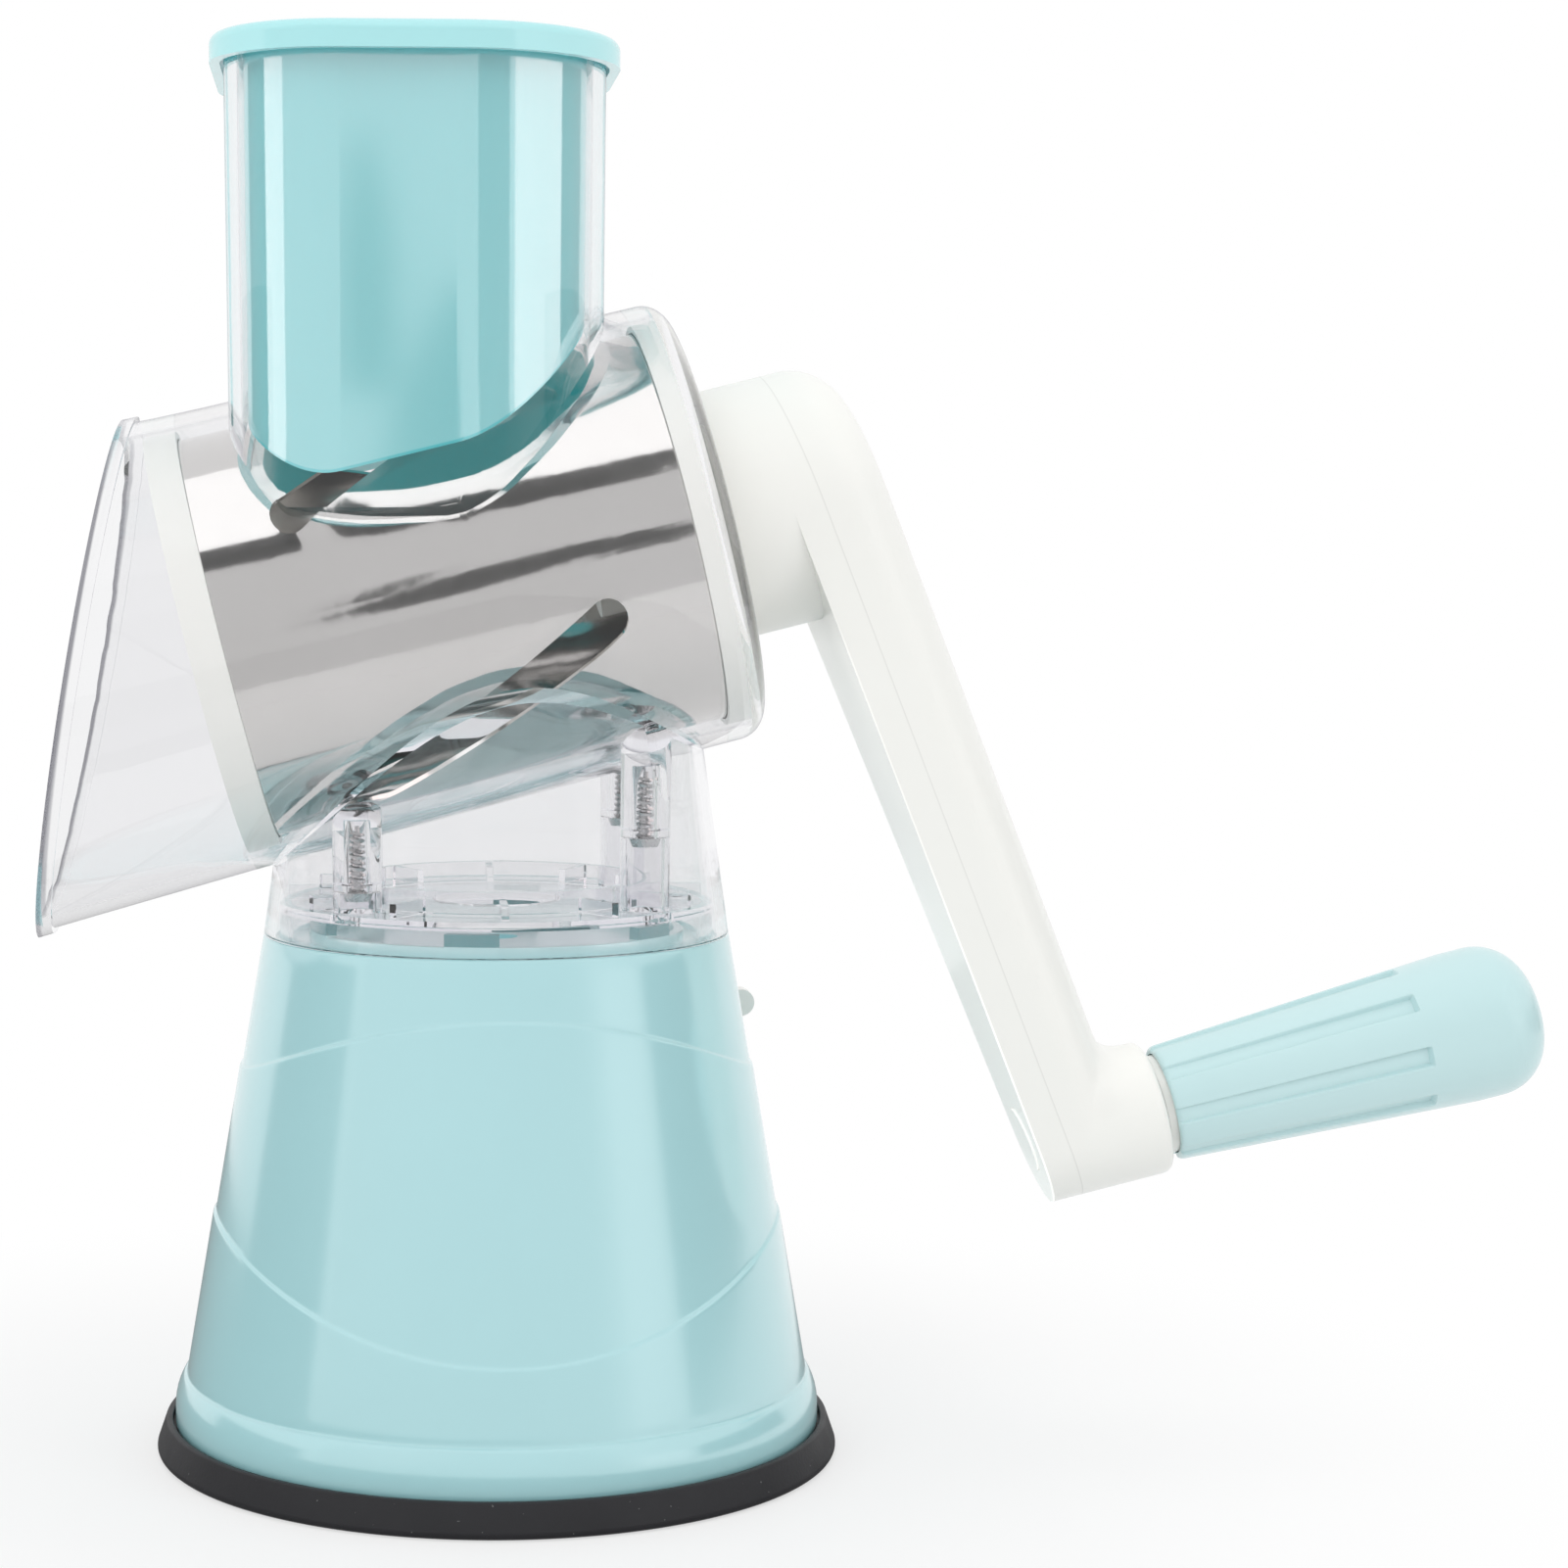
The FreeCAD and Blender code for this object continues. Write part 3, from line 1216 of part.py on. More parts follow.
cap_recess = arm_disc("CapRecess", -2, cap_depth, end_cap_radius + sliding_gap)
inner_bores = combine("MultiFuse", "InnerBores", head_bore, axle_bore, cap_recess)
inner_with_boss = combine("MultiFuse", "InnerWithBoss", inner_open, axle_boss)
finish(combine("Cut", "CrankInner", inner_with_boss, inner_bores), "crank_inner")
finish(arm_disc("AxleCap", -0.3, cap_depth, end_cap_radius), "axle_cap")


def outer_form(name, inset, near, far, edge_round):
    """The outer half's outline between two splayed planes, its far edge rounded all round."""
    shape = lean(new_body(name), axis_tilt)
    drawing = new_sketch(shape, "YZ_Plane", name + "Drop", arm_inner - 10)
    teardrop(drawing, hub_radius - inset, arm_end_radius - inset, crank_reach, across=True)
    pad(shape, drawing, crank_far - arm_inner + 10)
    up, down = as_size(60), -(crank_reach + 40)
    slope = tangent(arm_splay)
    over = new_sketch(shape, "XZ_Plane", name + "Over")
    beyond = crank_far + 60
    outline(over, [
        (far - slope * down, down), (beyond, down), (beyond, up), (far - slope * up, up)])
    pocket(shape, over, hub_radius * 3, middle=True)
    under = new_sketch(shape, "XZ_Plane", name + "Under")
    outline(under, [
        (-beyond, down), (near - slope * down, down), (near - slope * up, up), (-beyond, up)])
    under_cut = pocket(shape, under, hub_radius * 3, middle=True)
    doc.recompute()
    edges = []
    splay = math.radians(arm_splay.number)
    face_normal = Vector(math.cos(splay), 0, math.sin(splay))
    for index, edge in enumerate(under_cut.Shape.Edges, 1):
        gaps = [(point - Vector(far.number, 0, 0)).dot(face_normal) for point in edge.discretize(5)]
        if max(gaps) < 0.01 and min(gaps) > -0.01:
            edges.append("Edge%d" % index)
    rounding = shape.newObject("PartDesign::Fillet", name + "Round")
    rounding.Base = (under_cut, edges)
    bind(rounding, "Radius", edge_round)
    shape.Tip = rounding
    return shape


boss_room_radius = arm_end_radius - arm_wall - 0.2
boss_wall_radius = 5.6
knob_boss = combine(
    "MultiCommon", "KnobBoss", rod("KnobBossRod", arm_seam, boss_end, arm_end_radius, crank_reach),
    arm_slab("AboveSeam", arm_seam, arm_seam + 60))
knob_tube = combine(
    "MultiCommon", "KnobTube", rod("KnobTubeRod", arm_seam, boss_end - 1, boss_wall_radius, crank_reach),
    arm_slab("AboveSeamAgain", arm_seam, arm_seam + 60))
outer_room = outer_form(
    "CrankOuterRoom", arm_wall, arm_seam - 3, arm_outer - arm_wall / cosine(arm_splay), arm_edge - arm_wall)
boss_room = rod("BossRoom", arm_seam + 12, boss_end - arm_wall, boss_room_radius, crank_reach)
outer_shape = outer_form("CrankOuterForm", 0, arm_seam, arm_outer, arm_edge)
outer_open = combine(
    "Cut", "OuterOpen", combine("MultiFuse", "OuterSolid", outer_shape, knob_boss),
    combine("MultiFuse", "OuterRooms", outer_room, boss_room))
outer_with_tube = combine("MultiFuse", "OuterWithTube", outer_open, knob_tube)
outer_bore = rod("OuterBore", arm_inner, crank_far, axle_radius + running_gap, crank_reach)
finish(combine("Cut", "CrankOuter", outer_with_tube, outer_bore), "crank_outer")

# Knob: an aqua grip pushed onto a white bush, which turns on a steel axle headed inside the arm.
bush_radius = 8.9
bush_start = boss_end + 0.4
bush_end = 142.0
axle_end = 138.0
axle = lean(new_body("KnobAxle"), axis_tilt)
for label, low, high, radius in (
        ("Head", head_low, head_high, 5.0), ("Shank", head_high - 0.5, axle_end, axle_radius)):
    drawing = new_sketch(axle, "YZ_Plane", "KnobAxle" + label, low)
    circle(drawing, 0, -crank_reach, radius)
    pad(axle, drawing, high - low)
finish(axle, "knob_axle")

collar_outside = 9.4


def knob_body(name):
    """A body whose own X axis is the knob's axis."""
    body = new_body(name)
    body.Placement = Placement(Vector(0, 0, 0), Rotation(Vector(0, -1, 0), axis_tilt.number))
    bind(body, "Placement.Rotation.Angle", axis_tilt)
    bind(body, "Placement.Base.x", crank_reach * sine(axis_tilt))
    bind(body, "Placement.Base.z", axis_height - crank_reach * cosine(axis_tilt))
    return body


bush = knob_body("KnobBush")
profile = new_sketch(bush, "XZ_Plane", "BushProfile")
outline(profile, [
    (bush_start, axle_radius + sliding_gap), (bush_start, collar_outside),
    (bush_start + 2.2, collar_outside), (bush_start + 2.2, bush_radius), (bush_end, bush_radius),
    (bush_end, 0), (axle_end, 0), (axle_end, axle_radius + sliding_gap),
])
revolve(bush, profile, "H_Axis")
finish(bush, "knob_bush")

grip_end = grip_start + grip_length
thick_start = grip_end - grip_end_round - 5
flute_end = 147.6
flute_width = 3.4
flute_count = 8
mouth_radius = collar_outside + 0.3


def grip_at(place):
    """The grip's outer radius at a place along the knob's axis."""
    return grip_thin + (place - grip_start) * (grip_thick - grip_thin) / (thick_start - grip_start)


grip = knob_body("KnobGrip")
profile = new_sketch(grip, "XZ_Plane", "GripProfile")
dome_flat = grip_thick - grip_end_round
outline(profile, [
    (grip_start, mouth_radius), (bush_start + 2.4, mouth_radius), (bush_start + 2.4, bush_radius + 0.2),
    (bush_end, bush_radius + 0.2), (bush_end, 0), (grip_end, 0), (grip_end, dome_flat, grip_end_round, 1),
    (grip_end - grip_end_round, grip_thick), (thick_start, grip_thick),
    (grip_start + 1, grip_at(grip_start + 1)), (grip_start, grip_thin - 0.6),
])
revolve(grip, profile, "H_Axis")
flute = new_sketch(grip, "XZ_Plane", "GripFlute")
flute_depth = 0.5
flute_drop = 1.1
outline(flute, [
    (grip_start - 1, grip_at(grip_start - 1) - flute_depth), (flute_end, grip_at(flute_end) - flute_drop),
    (flute_end, grip_thick + 3), (grip_start - 1, grip_thick + 3),
])
flute_cut = pocket(grip, flute, flute_width, middle=True)
ring_of(grip, flute_cut, flute, "H_Axis", flute_count)
finish(grip, "knob_grip")

doc.recompute()
for thing in doc.Objects:
    if "Invalid" in thing.State or "Error" in thing.State:
        raise RuntimeError("%s is in error: %s" % (thing.Name, thing.State))
for thing in pieces:
    if thing.Shape.isNull() or not thing.Shape.isValid():
        raise RuntimeError("%s has no valid shape" % thing.Label)
os.makedirs("parts", exist_ok=True)
for thing in pieces:
    thing.Shape.exportStep("parts/%s.step" % thing.Label)
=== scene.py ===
import math

import bmesh
import bpy
import numpy as np
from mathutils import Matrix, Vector


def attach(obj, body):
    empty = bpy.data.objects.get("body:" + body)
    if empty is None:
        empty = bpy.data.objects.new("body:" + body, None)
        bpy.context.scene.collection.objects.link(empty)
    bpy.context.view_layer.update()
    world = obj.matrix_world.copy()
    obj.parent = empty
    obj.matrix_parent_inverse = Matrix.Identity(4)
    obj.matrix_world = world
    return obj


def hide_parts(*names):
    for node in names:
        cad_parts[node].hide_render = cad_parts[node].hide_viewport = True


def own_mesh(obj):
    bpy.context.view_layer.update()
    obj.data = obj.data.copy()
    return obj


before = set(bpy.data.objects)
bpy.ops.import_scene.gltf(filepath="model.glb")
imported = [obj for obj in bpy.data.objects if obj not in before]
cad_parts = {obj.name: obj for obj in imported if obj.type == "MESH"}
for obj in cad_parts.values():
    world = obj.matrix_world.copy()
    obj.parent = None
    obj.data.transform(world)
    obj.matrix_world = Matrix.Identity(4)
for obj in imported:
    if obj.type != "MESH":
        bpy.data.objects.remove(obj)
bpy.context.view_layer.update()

mm = 0.001

# The picture: a long lens a little above the middle of the barrel, looking slightly down. Its own
# axis passes close to the base's, so the frame is shifted to take in the crank on the right.
picture_side = 1601
focal_pixels = 3390.6
lens_axis_pixel = 545.5
film_width = 36.0
camera_place = Vector((-25.3, -618.1, 173.0)) * mm
sight = Vector((0.0522, 0.9956, -0.0779))

lens = bpy.data.cameras.new("Camera")
lens.sensor_width = film_width
lens.lens = focal_pixels * film_width / picture_side
lens.shift_x = (picture_side / 2 - lens_axis_pixel) / picture_side
lens.clip_start, lens.clip_end = 0.01, 20
camera = bpy.data.objects.new("Camera", lens)
camera.location = camera_place
camera.rotation_mode = "QUATERNION"
camera.rotation_quaternion = sight.to_track_quat("-Z", "Y")
bpy.context.scene.collection.objects.link(camera)
bpy.context.scene.camera = camera
bpy.context.scene.view_settings.view_transform = "Standard"

# The studio: a white room. The floor is white where the camera sees it bare, keeps the grater's
# soft shadow near its foot, and gives diffuse light back as a pale floor does.
room_light = 0.84
floor_reach = 3.0
shadow_near, shadow_far = 0.08, 0.22
shadow_share = 0.4
floor_height = -0.0002


class Wire:
    """An output of a node in a material, on which sums can be written."""

    def __init__(self, tree, socket):
        self.tree, self.socket = tree, socket

    def sum(self, operation, first, second=None):
        node = self.tree.nodes.new("ShaderNodeMath")
        node.operation = operation
        for place, value in enumerate((first, second)):
            if isinstance(value, Wire):
                self.tree.links.new(value.socket, node.inputs[place])
            elif value is not None:
                node.inputs[place].default_value = value
        return Wire(self.tree, node.outputs[0])

    def __add__(self, other):
        return self.sum("ADD", self, other)

    def __sub__(self, other):
        return self.sum("SUBTRACT", self, other)

    def __mul__(self, other):
        return self.sum("MULTIPLY", self, other)

    def __pow__(self, other):
        return self.sum("POWER", self, other)

    def __rsub__(self, other):
        return self.sum("SUBTRACT", other, self)

    __radd__ = __add__
    __rmul__ = __mul__

    def most(self, other):
        return self.sum("MAXIMUM", self, other)

    def size(self):
        return self.sum("ABSOLUTE", self)

    def above(self, edge, width):
        """0 below the edge and 1 above it, changing smoothly over the width."""
        node = self.tree.nodes.new("ShaderNodeMapRange")
        node.interpolation_type = "SMOOTHSTEP"
        self.tree.links.new(self.socket, node.inputs["Value"])
        node.inputs["From Min"].default_value = edge - width / 2
        node.inputs["From Max"].default_value = edge + width / 2
        return Wire(self.tree, node.outputs[0])


class Finish:
    """A material: one shader, and the nodes that drive what changes over its surface."""

    def __init__(self, name, kind="ShaderNodeBsdfPrincipled", **fixed):
        self.material = bpy.data.materials.new(name)
        self.material.use_nodes = True
        self.tree = self.material.node_tree
        self.tree.nodes.clear()
        self.output = self.tree.nodes.new("ShaderNodeOutputMaterial")
        self.shader = self.tree.nodes.new(kind)
        self.tree.links.new(self.shader.outputs[0], self.output.inputs["Surface"])
        for socket, value in fixed.items():
            self.shader.inputs[socket.replace("_", " ")].default_value = value

    def node(self, kind, settings=None, values=None, outlet=0):
        node = self.tree.nodes.new(kind)
        for setting, value in (settings or {}).items():
            setattr(node, setting, value)
        for socket, value in (values or {}).items():
            if isinstance(value, Wire):
                self.tree.links.new(value.socket, node.inputs[socket])
            else:
                node.inputs[socket].default_value = value
        return Wire(self.tree, node.outputs[outlet])

    def place(self):
        return self.node("ShaderNodeTexCoord", outlet="Object")

    def noise(self, size, detail=2.0):
        """Noise about 0.5 whose patches are about as large as the size, in metres."""
        return self.node("ShaderNodeTexNoise", values={
            "Vector": self.place(), "Scale": 1 / size, "Detail": detail})

    def tint(self, share, first, second):
        """A colour between two colours, by a share that changes over the surface."""
        first, second = (each if isinstance(each, Wire) else (*each, 1) for each in (first, second))
        return self.node("ShaderNodeMix", {"data_type": "RGBA"},
                         {"Factor": share, "A": first, "B": second}, outlet=2)

    def dot(self, direction):
        """How far a point lies along a direction, in metres."""
        return self.node("ShaderNodeVectorMath", {"operation": "DOT_PRODUCT"},
                         {0: self.place(), 1: direction}, outlet="Value")

    def part_of(self, outlet):
        """A point's x, y or z: outlet 0, 1 or 2."""
        return self.node("ShaderNodeSeparateXYZ", values={0: self.place()}, outlet=outlet)

    def drive(self, socket, wire):
        self.tree.links.new(wire.socket, self.shader.inputs[socket])

    def over_colour(self, share, colour):
        """Lays a colour over the one that the shader has, by a share from 0 to 1."""
        under = Wire(self.tree, self.shader.inputs["Base Color"].links[0].from_socket)
        self.drive("Base Color", self.tint(share, under, colour))

    def glow(self, share, strength, colour):
        """Painted light: a glow laid over the surface, by a share from 0 to 1."""
        self.shader.inputs["Emission Strength"].default_value = strength
        self.drive("Emission Color", self.tint(share, (0, 0, 0), colour))

    def mixed(self, share, kind, **fixed):
        """Lays one more shader over what there is, by a share from 0 to 1."""
        second = self.tree.nodes.new(kind)
        for socket, value in fixed.items():
            second.inputs[socket.replace("_", " ")].default_value = value
        blend = self.tree.nodes.new("ShaderNodeMixShader")
        self.tree.links.new(share.socket, blend.inputs[0])
        self.tree.links.new(self.output.inputs["Surface"].links[0].from_socket, blend.inputs[1])
        self.tree.links.new(second.outputs[0], blend.inputs[2])
        self.tree.links.new(blend.outputs[0], self.output.inputs["Surface"])

    def bump(self, height, depth, under=None):
        """Relief whose height runs from 0 to 1, that many metres deep."""
        values = {"Height": height, "Distance": depth}
        if under is not None:
            values["Normal"] = under
        raised = self.node("ShaderNodeBump", values=values)
        self.drive("Normal", raised)
        return raised


def ray(finish, outlet):
    return finish.node("ShaderNodeLightPath", outlet=outlet)


sky = bpy.data.worlds.new("WhiteRoom")
bpy.context.scene.world = sky
sky.use_nodes = True
sky_light = sky.node_tree.nodes["Background"]
sky_light.inputs["Color"].default_value = (1, 1, 1, 1)
sky_paths = sky.node_tree.nodes.new("ShaderNodeLightPath")
sky_level = sky.node_tree.nodes.new("ShaderNodeMapRange")
sky_level.inputs["To Min"].default_value = 1.0
sky_level.inputs["To Max"].default_value = room_light
sky.node_tree.links.new(sky_paths.outputs["Is Diffuse Ray"], sky_level.inputs["Value"])
sky.node_tree.links.new(sky_level.outputs[0], sky_light.inputs["Strength"])


def sheet_of(name, corners, finish):
    """A flat sheet in the studio, which is no part of the grater."""
    mesh = bpy.data.meshes.new(name)
    mesh.from_pydata(corners, [], [tuple(range(len(corners)))])
    mesh.materials.append(finish.material)
    sheet = bpy.data.objects.new(name, mesh)
    bpy.context.scene.collection.objects.link(sheet)
    return sheet


paper = Finish("WhitePaper", Base_Color=(0.82, 0.82, 0.82, 1), Roughness=0.9, Specular_IOR_Level=0.1)
far = paper.node("ShaderNodeVectorMath", {"operation": "LENGTH"}, {0: paper.place()}, outlet="Value")
bare = far.above((shadow_near + shadow_far) / 2, shadow_far - shadow_near)
shown = ray(paper, "Is Camera Ray").most(ray(paper, "Is Glossy Ray"))
shown = shown.most(ray(paper, "Is Transmission Ray"))
paper.mixed(shown * ((1 - shadow_share) + bare * shadow_share), "ShaderNodeEmission", Strength=1.0)
sheet_of("Floor", [
    (-floor_reach, -floor_reach, floor_height), (floor_reach, -floor_reach, floor_height),
    (floor_reach, floor_reach, floor_height), (-floor_reach, floor_reach, floor_height)], paper)


def softbox(name, place, target, width, height, power):
    lamp = bpy.data.lights.new(name, "AREA")
    lamp.shape = "RECTANGLE"
    lamp.size, lamp.size_y = width, height
    lamp.energy = power
    holder = bpy.data.objects.new(name, lamp)
    holder.location = place
    holder.rotation_mode = "QUATERNION"
    holder.rotation_quaternion = (Vector(target) - Vector(place)).to_track_quat("-Z", "Y")
    holder.visible_glossy = holder.visible_transmission = False
    bpy.context.scene.collection.objects.link(holder)


softbox("KeyLight", (-0.9, -1.1, 1.0), (0, 0, 0.13), 0.8, 1.0, 5.0)
softbox("FillLight", (1.1, -0.9, 0.6), (0, 0, 0.13), 0.7, 1.0, 2.6)
softbox("TopLight", (0.1, 0.2, 1.3), (0, 0, 0.15), 1.0, 1.0, 3.0)
softbox("RimLight", (1.2, 0.5, 0.25), (0.05, 0, 0.13), 0.8, 0.8, 0.5)
softbox("LowLight", (-1.1, -0.4, 0.15), (0.05, 0, 0.13), 0.8, 0.5, 1.2)

# What the polish mirrors: the grey room in front, the dark camera and a dark rail above it, tall
# warm lamps, and black flags at both sides. Only light that has met a glossy face sees them, and
# each is set for the outer faces, for light caught inside a clear wall, and for what is behind one.
card_distance = 0.905
after_skin, after_wall, count_blur = 0.5, 3.5, 0.2
low_card_top, high_card_foot, high_card_top = 0.27, 0.12, 0.62
lamp_glow = (1, 0.88, 0.86)


def card(name, corners, outside=None, caught=None, behind=None, glow=(1, 1, 1)):
    """A glowing card, with a level for each place it is mirrored in, or none where it isn't seen."""
    face = Finish(name, "ShaderNodeEmission", Color=(*glow, 1))
    walls = ray(face, "Transmission Depth")
    past_skin, past_wall = walls.above(after_skin, count_blur), walls.above(after_wall, count_blur)
    level = seen = 0
    for share, value in (
            (1 - past_skin, outside), (past_skin - past_wall, caught), (past_wall, behind)):
        if value is not None:
            level, seen = level + share * value, seen + share
    face.drive("Strength", level)
    mirrored = ray(face, "Glossy Depth").above(after_skin, count_blur)
    face.mixed(1 - seen * mirrored, "ShaderNodeBsdfTransparent")
    sheet = sheet_of(name, corners, face)
    sheet.visible_diffuse = sheet.visible_shadow = sheet.visible_camera = False


def upright_card(name, outline, distance=card_distance, **levels):
    """A card that stands in front of the grater; its outline is in millimetres."""
    card(name, [(x * mm, -distance, z * mm) for x, z in outline], **levels)


def side_card(name, reach, first, last, low, high, **levels):
    """A card beside the grater, between two bearings from straight ahead, at a distance."""
    corners = []
    for bearing, height in ((first, low), (last, low), (last, high), (first, high)):
        turn = math.radians(bearing)
        corners.append((reach * math.sin(turn), -reach * math.cos(turn), height))
    card(name, corners, **levels)


upright_card("GreyRoom", [
    (-2200, -20), (760, -20), (760, 790), (8, 800), (-700, 1190), (-2200, 1190)],
    outside=0.84, caught=0.8, behind=0.80)
upright_card("DarkRail", [
    (-2200, 1090), (-700, 1090), (8, 735), (8, 1035), (-700, 1430), (-2200, 1430)],
    0.9, behind=0.03)
upright_card("WhiteWall", [
    (-2200, 790), (1400, 790), (1400, 1500), (-2200, 1500)], 0.91, behind=1.7)
card("WhiteCeiling", [
    (-2.2, -0.91, 1.5), (1.4, -0.91, 1.5), (1.4, 0.3, 1.5), (-2.2, 0.3, 1.5)], behind=1.7)
upright_card("DarkCamera", [
    (-25, 150), (14, 92), (32, 92), (49, 90), (66, 98), (83, 126), (95, 156), (106, 156), (113, 115),
    (150, 100), (152, 200), (118, 228), (110, 262), (40, 266), (12, 258), (-8, 215)],
    0.895, behind=0.06)
upright_card("DarkPost", [
    (-33, 215), (-10, 215), (-11, 270), (-13, 293), (-17, 314), (-24, 329), (-29, 314), (-32, 293),
    (-33, 270)], 0.893, behind=0.0)
card("GreyFloor", [
    (-2.2, -card_distance, 0.0006), (0.76, -card_distance, 0.0006),
    (0.76, -0.32, 0.0006), (-2.2, -0.32, 0.0006)], caught=0.78, behind=0.78)
card("ShadedFloor", [
    (-1, -1, 0.0004), (0.1, -1, 0.0004), (0.1, 0.4, 0.0004), (-1, 0.4, 0.0004)], outside=0.28)
side_card("RightLamp", 1.0, 46, 66, 0.02, low_card_top, outside=1.25)
side_card("RightHighLamp", 1.0, 50, 99, high_card_foot, high_card_top, behind=2.1, glow=lamp_glow)
side_card("RightGap", 0.86, 18.5, 45, high_card_foot, high_card_top, behind=0.25)
side_card("RightFlag", 1.05, 70, 116, -0.02, low_card_top, outside=0.32)
side_card("RightHighFlag", 1.05, 99, 130, high_card_foot, high_card_top, behind=0.10)
side_card("LeftHighLamp", 1.0, -94, -68, high_card_foot, high_card_top, behind=2.1, glow=lamp_glow)
side_card("LeftFlag", 1.05, -116, -72, -0.02, low_card_top, outside=0.28)
side_card("LeftHighFlag", 1.05, -128, -94, high_card_foot, high_card_top, behind=0.02)

# Suction cup: one soft black rubber moulding. Its lip spreads on the table and its rim stands up
# round the foot of the base. The rubber is matt, with a few specks of dust on it.
cup_steps = 192


def colour(red, green, blue):
    """A colour as it is read off a screen, 0 to 255, made linear for the shaders."""
    return tuple(
        v / 12.92 if v <= 0.04045 else ((v + 0.055) / 1.055) ** 2.4
        for v in (red / 255, green / 255, blue / 255))


rubber = Finish("BlackRubber", Roughness=0.45, IOR=1.45, Specular_IOR_Level=0.35)
rubber.drive("Base Color", rubber.tint(
    rubber.noise(0.02, detail=3), colour(33, 33, 36), colour(43, 43, 46)))
dust = rubber.noise(0.0006, detail=0).above(0.86, 0.03)
rubber.over_colour(dust * 0.35, colour(150, 150, 150))
rubber.drive("Roughness", 0.42 + 0.16 * rubber.noise(0.006, detail=4))
rubber.bump(rubber.noise(0.0007, detail=3), 0.00003)


def rounded(corners, steps=6):
    """The points of a closed outline; a corner that has a radius is rounded by it."""
    points = []
    for index, corner in enumerate(corners):
        here = Vector(corner[:2])
        if len(corner) == 2:
            points.append(here)
            continue
        back = (Vector(corners[index - 1][:2]) - here).normalized()
        ahead = (Vector(corners[(index + 1) % len(corners)][:2]) - here).normalized()
        half = back.angle(ahead) / 2
        reach, away = corner[2] / math.tan(half), corner[2] / math.sin(half)
        centre = here + (back + ahead).normalized() * away
        first, last = here + back * reach - centre, here + ahead * reach - centre
        start = math.atan2(first.y, first.x)
        turn = math.atan2(first.x * last.y - first.y * last.x, first.dot(last))
        for step in range(steps + 1):
            angle = start + turn * step / steps
            points.append(centre + Vector((math.cos(angle), math.sin(angle))) * corner[2])
    return points


def hoops(rings, open_ends=False):
    """The points and faces of a skin through rings of equal length, joined all round."""
    around = len(rings[0])
    points = [point for ring in rings for point in ring]
    faces = []
    for row in range(len(rings) - (1 if open_ends else 0)):
        below, above = row * around, (row + 1) % len(rings) * around
        for step in range(around):
            beside = (step + 1) % around
            faces.append((below + step, below + beside, above + beside, above + step))
    return points, faces


def upright(x, y, z):
    return Vector((x, y, z)) * mm


def turned(corners, place=upright, steps=96):
    """The points and faces of a turned shape; its outline is in radius and height."""
    rings = []
    turns = [math.tau * step / steps for step in range(steps)]
    for radius, height in rounded(corners):
        rings.append([
            place(radius * math.cos(turn), radius * math.sin(turn), height) for turn in turns])
    return hoops(rings)


def joined(*skins):
    points, faces = [], []
    for some_points, some_faces in skins:
        faces += [tuple(corner + len(points) for corner in face) for face in some_faces]
        points += some_points
    return points, faces


def shaped(name, skin, finish, body, *nodes, crease=30):
    """A finished piece with the given skin, which stands for its CAD nodes and moves with a body."""
    mesh = bpy.data.meshes.new(name)
    mesh.from_pydata(skin[0], [], skin[1])
    work = bmesh.new()
    work.from_mesh(mesh)
    bmesh.ops.remove_doubles(work, verts=work.verts, dist=1e-6)
    bmesh.ops.dissolve_degenerate(work, edges=work.edges, dist=1e-7)
    bmesh.ops.recalc_face_normals(work, faces=work.faces)
    work.to_mesh(mesh)
    work.free()
    mesh.shade_smooth()
    mesh.set_sharp_from_angle(angle=math.radians(crease))
    mesh.materials.append(finish.material)
    thing = bpy.data.objects.new(name, mesh)
    bpy.context.scene.collection.objects.link(thing)
    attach(thing, body)
    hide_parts(*nodes)
    return thing


shaped("SuctionCup", turned([
    (0, 1.5), (54, 1.5, 1.0), (56, 0, 0.6), (64, 0, 0.9), (63.9, 1.3, 0.8), (62.2, 6.2, 0.5),
    (61.0, 6.2, 0.3), (60.95, 5.0), (57.1, 5.0, 0.2), (56.7, 3.2, 0.3), (41, 3.2), (18, 3.8),
    (3.3, 3.8, 0.3), (3.3, 2.3), (0, 2.3)], steps=cup_steps), rubber, "base", "suction_cup")

# Base shell: the aqua cone, moulded in three bands. Each stands a little proud of the one above,
# along a wave with a soft edge, and a bead runs round the foot. The deck closes its top.
neck_radius, neck_height = 43.45, 97.2
cone_slope = math.tan(math.radians(9.6))
band_step, wave_reach = 0.45, 1.8
upper_wave, upper_round = 86.4, 90.0
lower_wave, lower_round = 27.7, 89.0
bead_top, shoulder = 15.6, 96.2
base_steps = 360
deck_height, deck_reach = 96.0, 42.2
tab_height, tab_reach = 98.4, 32.0
skin_depth, blur = 1.4, 0.4 * mm
lever_height, lever_face = 58.0, 54.2
collar_inner, collar_outer, collar_foot, collar_top = 33, 35, 96.0, 98.3
tab_middle, tab_half, tab_count, tab_foot, tab_top = -99.4, 7.9, 6, 98.0, 100.6
boss_hole, boss_radius, boss_start = 4.6, 11.0, 45.0
post_circle, post_count, post_hole, post_radius, post_foot, post_top = 50.0, 4, 1.5, 4.0, 6.6, 36.0


def moulded(name, first, second, sheen, gloss, polish=1.7, haze=0.06):
    """Gloss plastic from a polished mould: its colour, roughness and surface vary a very little."""
    plastic = Finish(name, IOR=1.5, Specular_IOR_Level=sheen, Coat_Weight=gloss, Coat_Roughness=haze,
                     Coat_IOR=polish)
    plastic.drive("Base Color", plastic.tint(plastic.noise(0.035, detail=3), first, second))
    plastic.drive("Roughness", 0.28 + 0.12 * plastic.noise(0.012, detail=4))
    plastic.bump(plastic.noise(0.014, detail=2), 0.00005, under=plastic.bump(
        plastic.noise(0.0006), 0.000004))
    return plastic


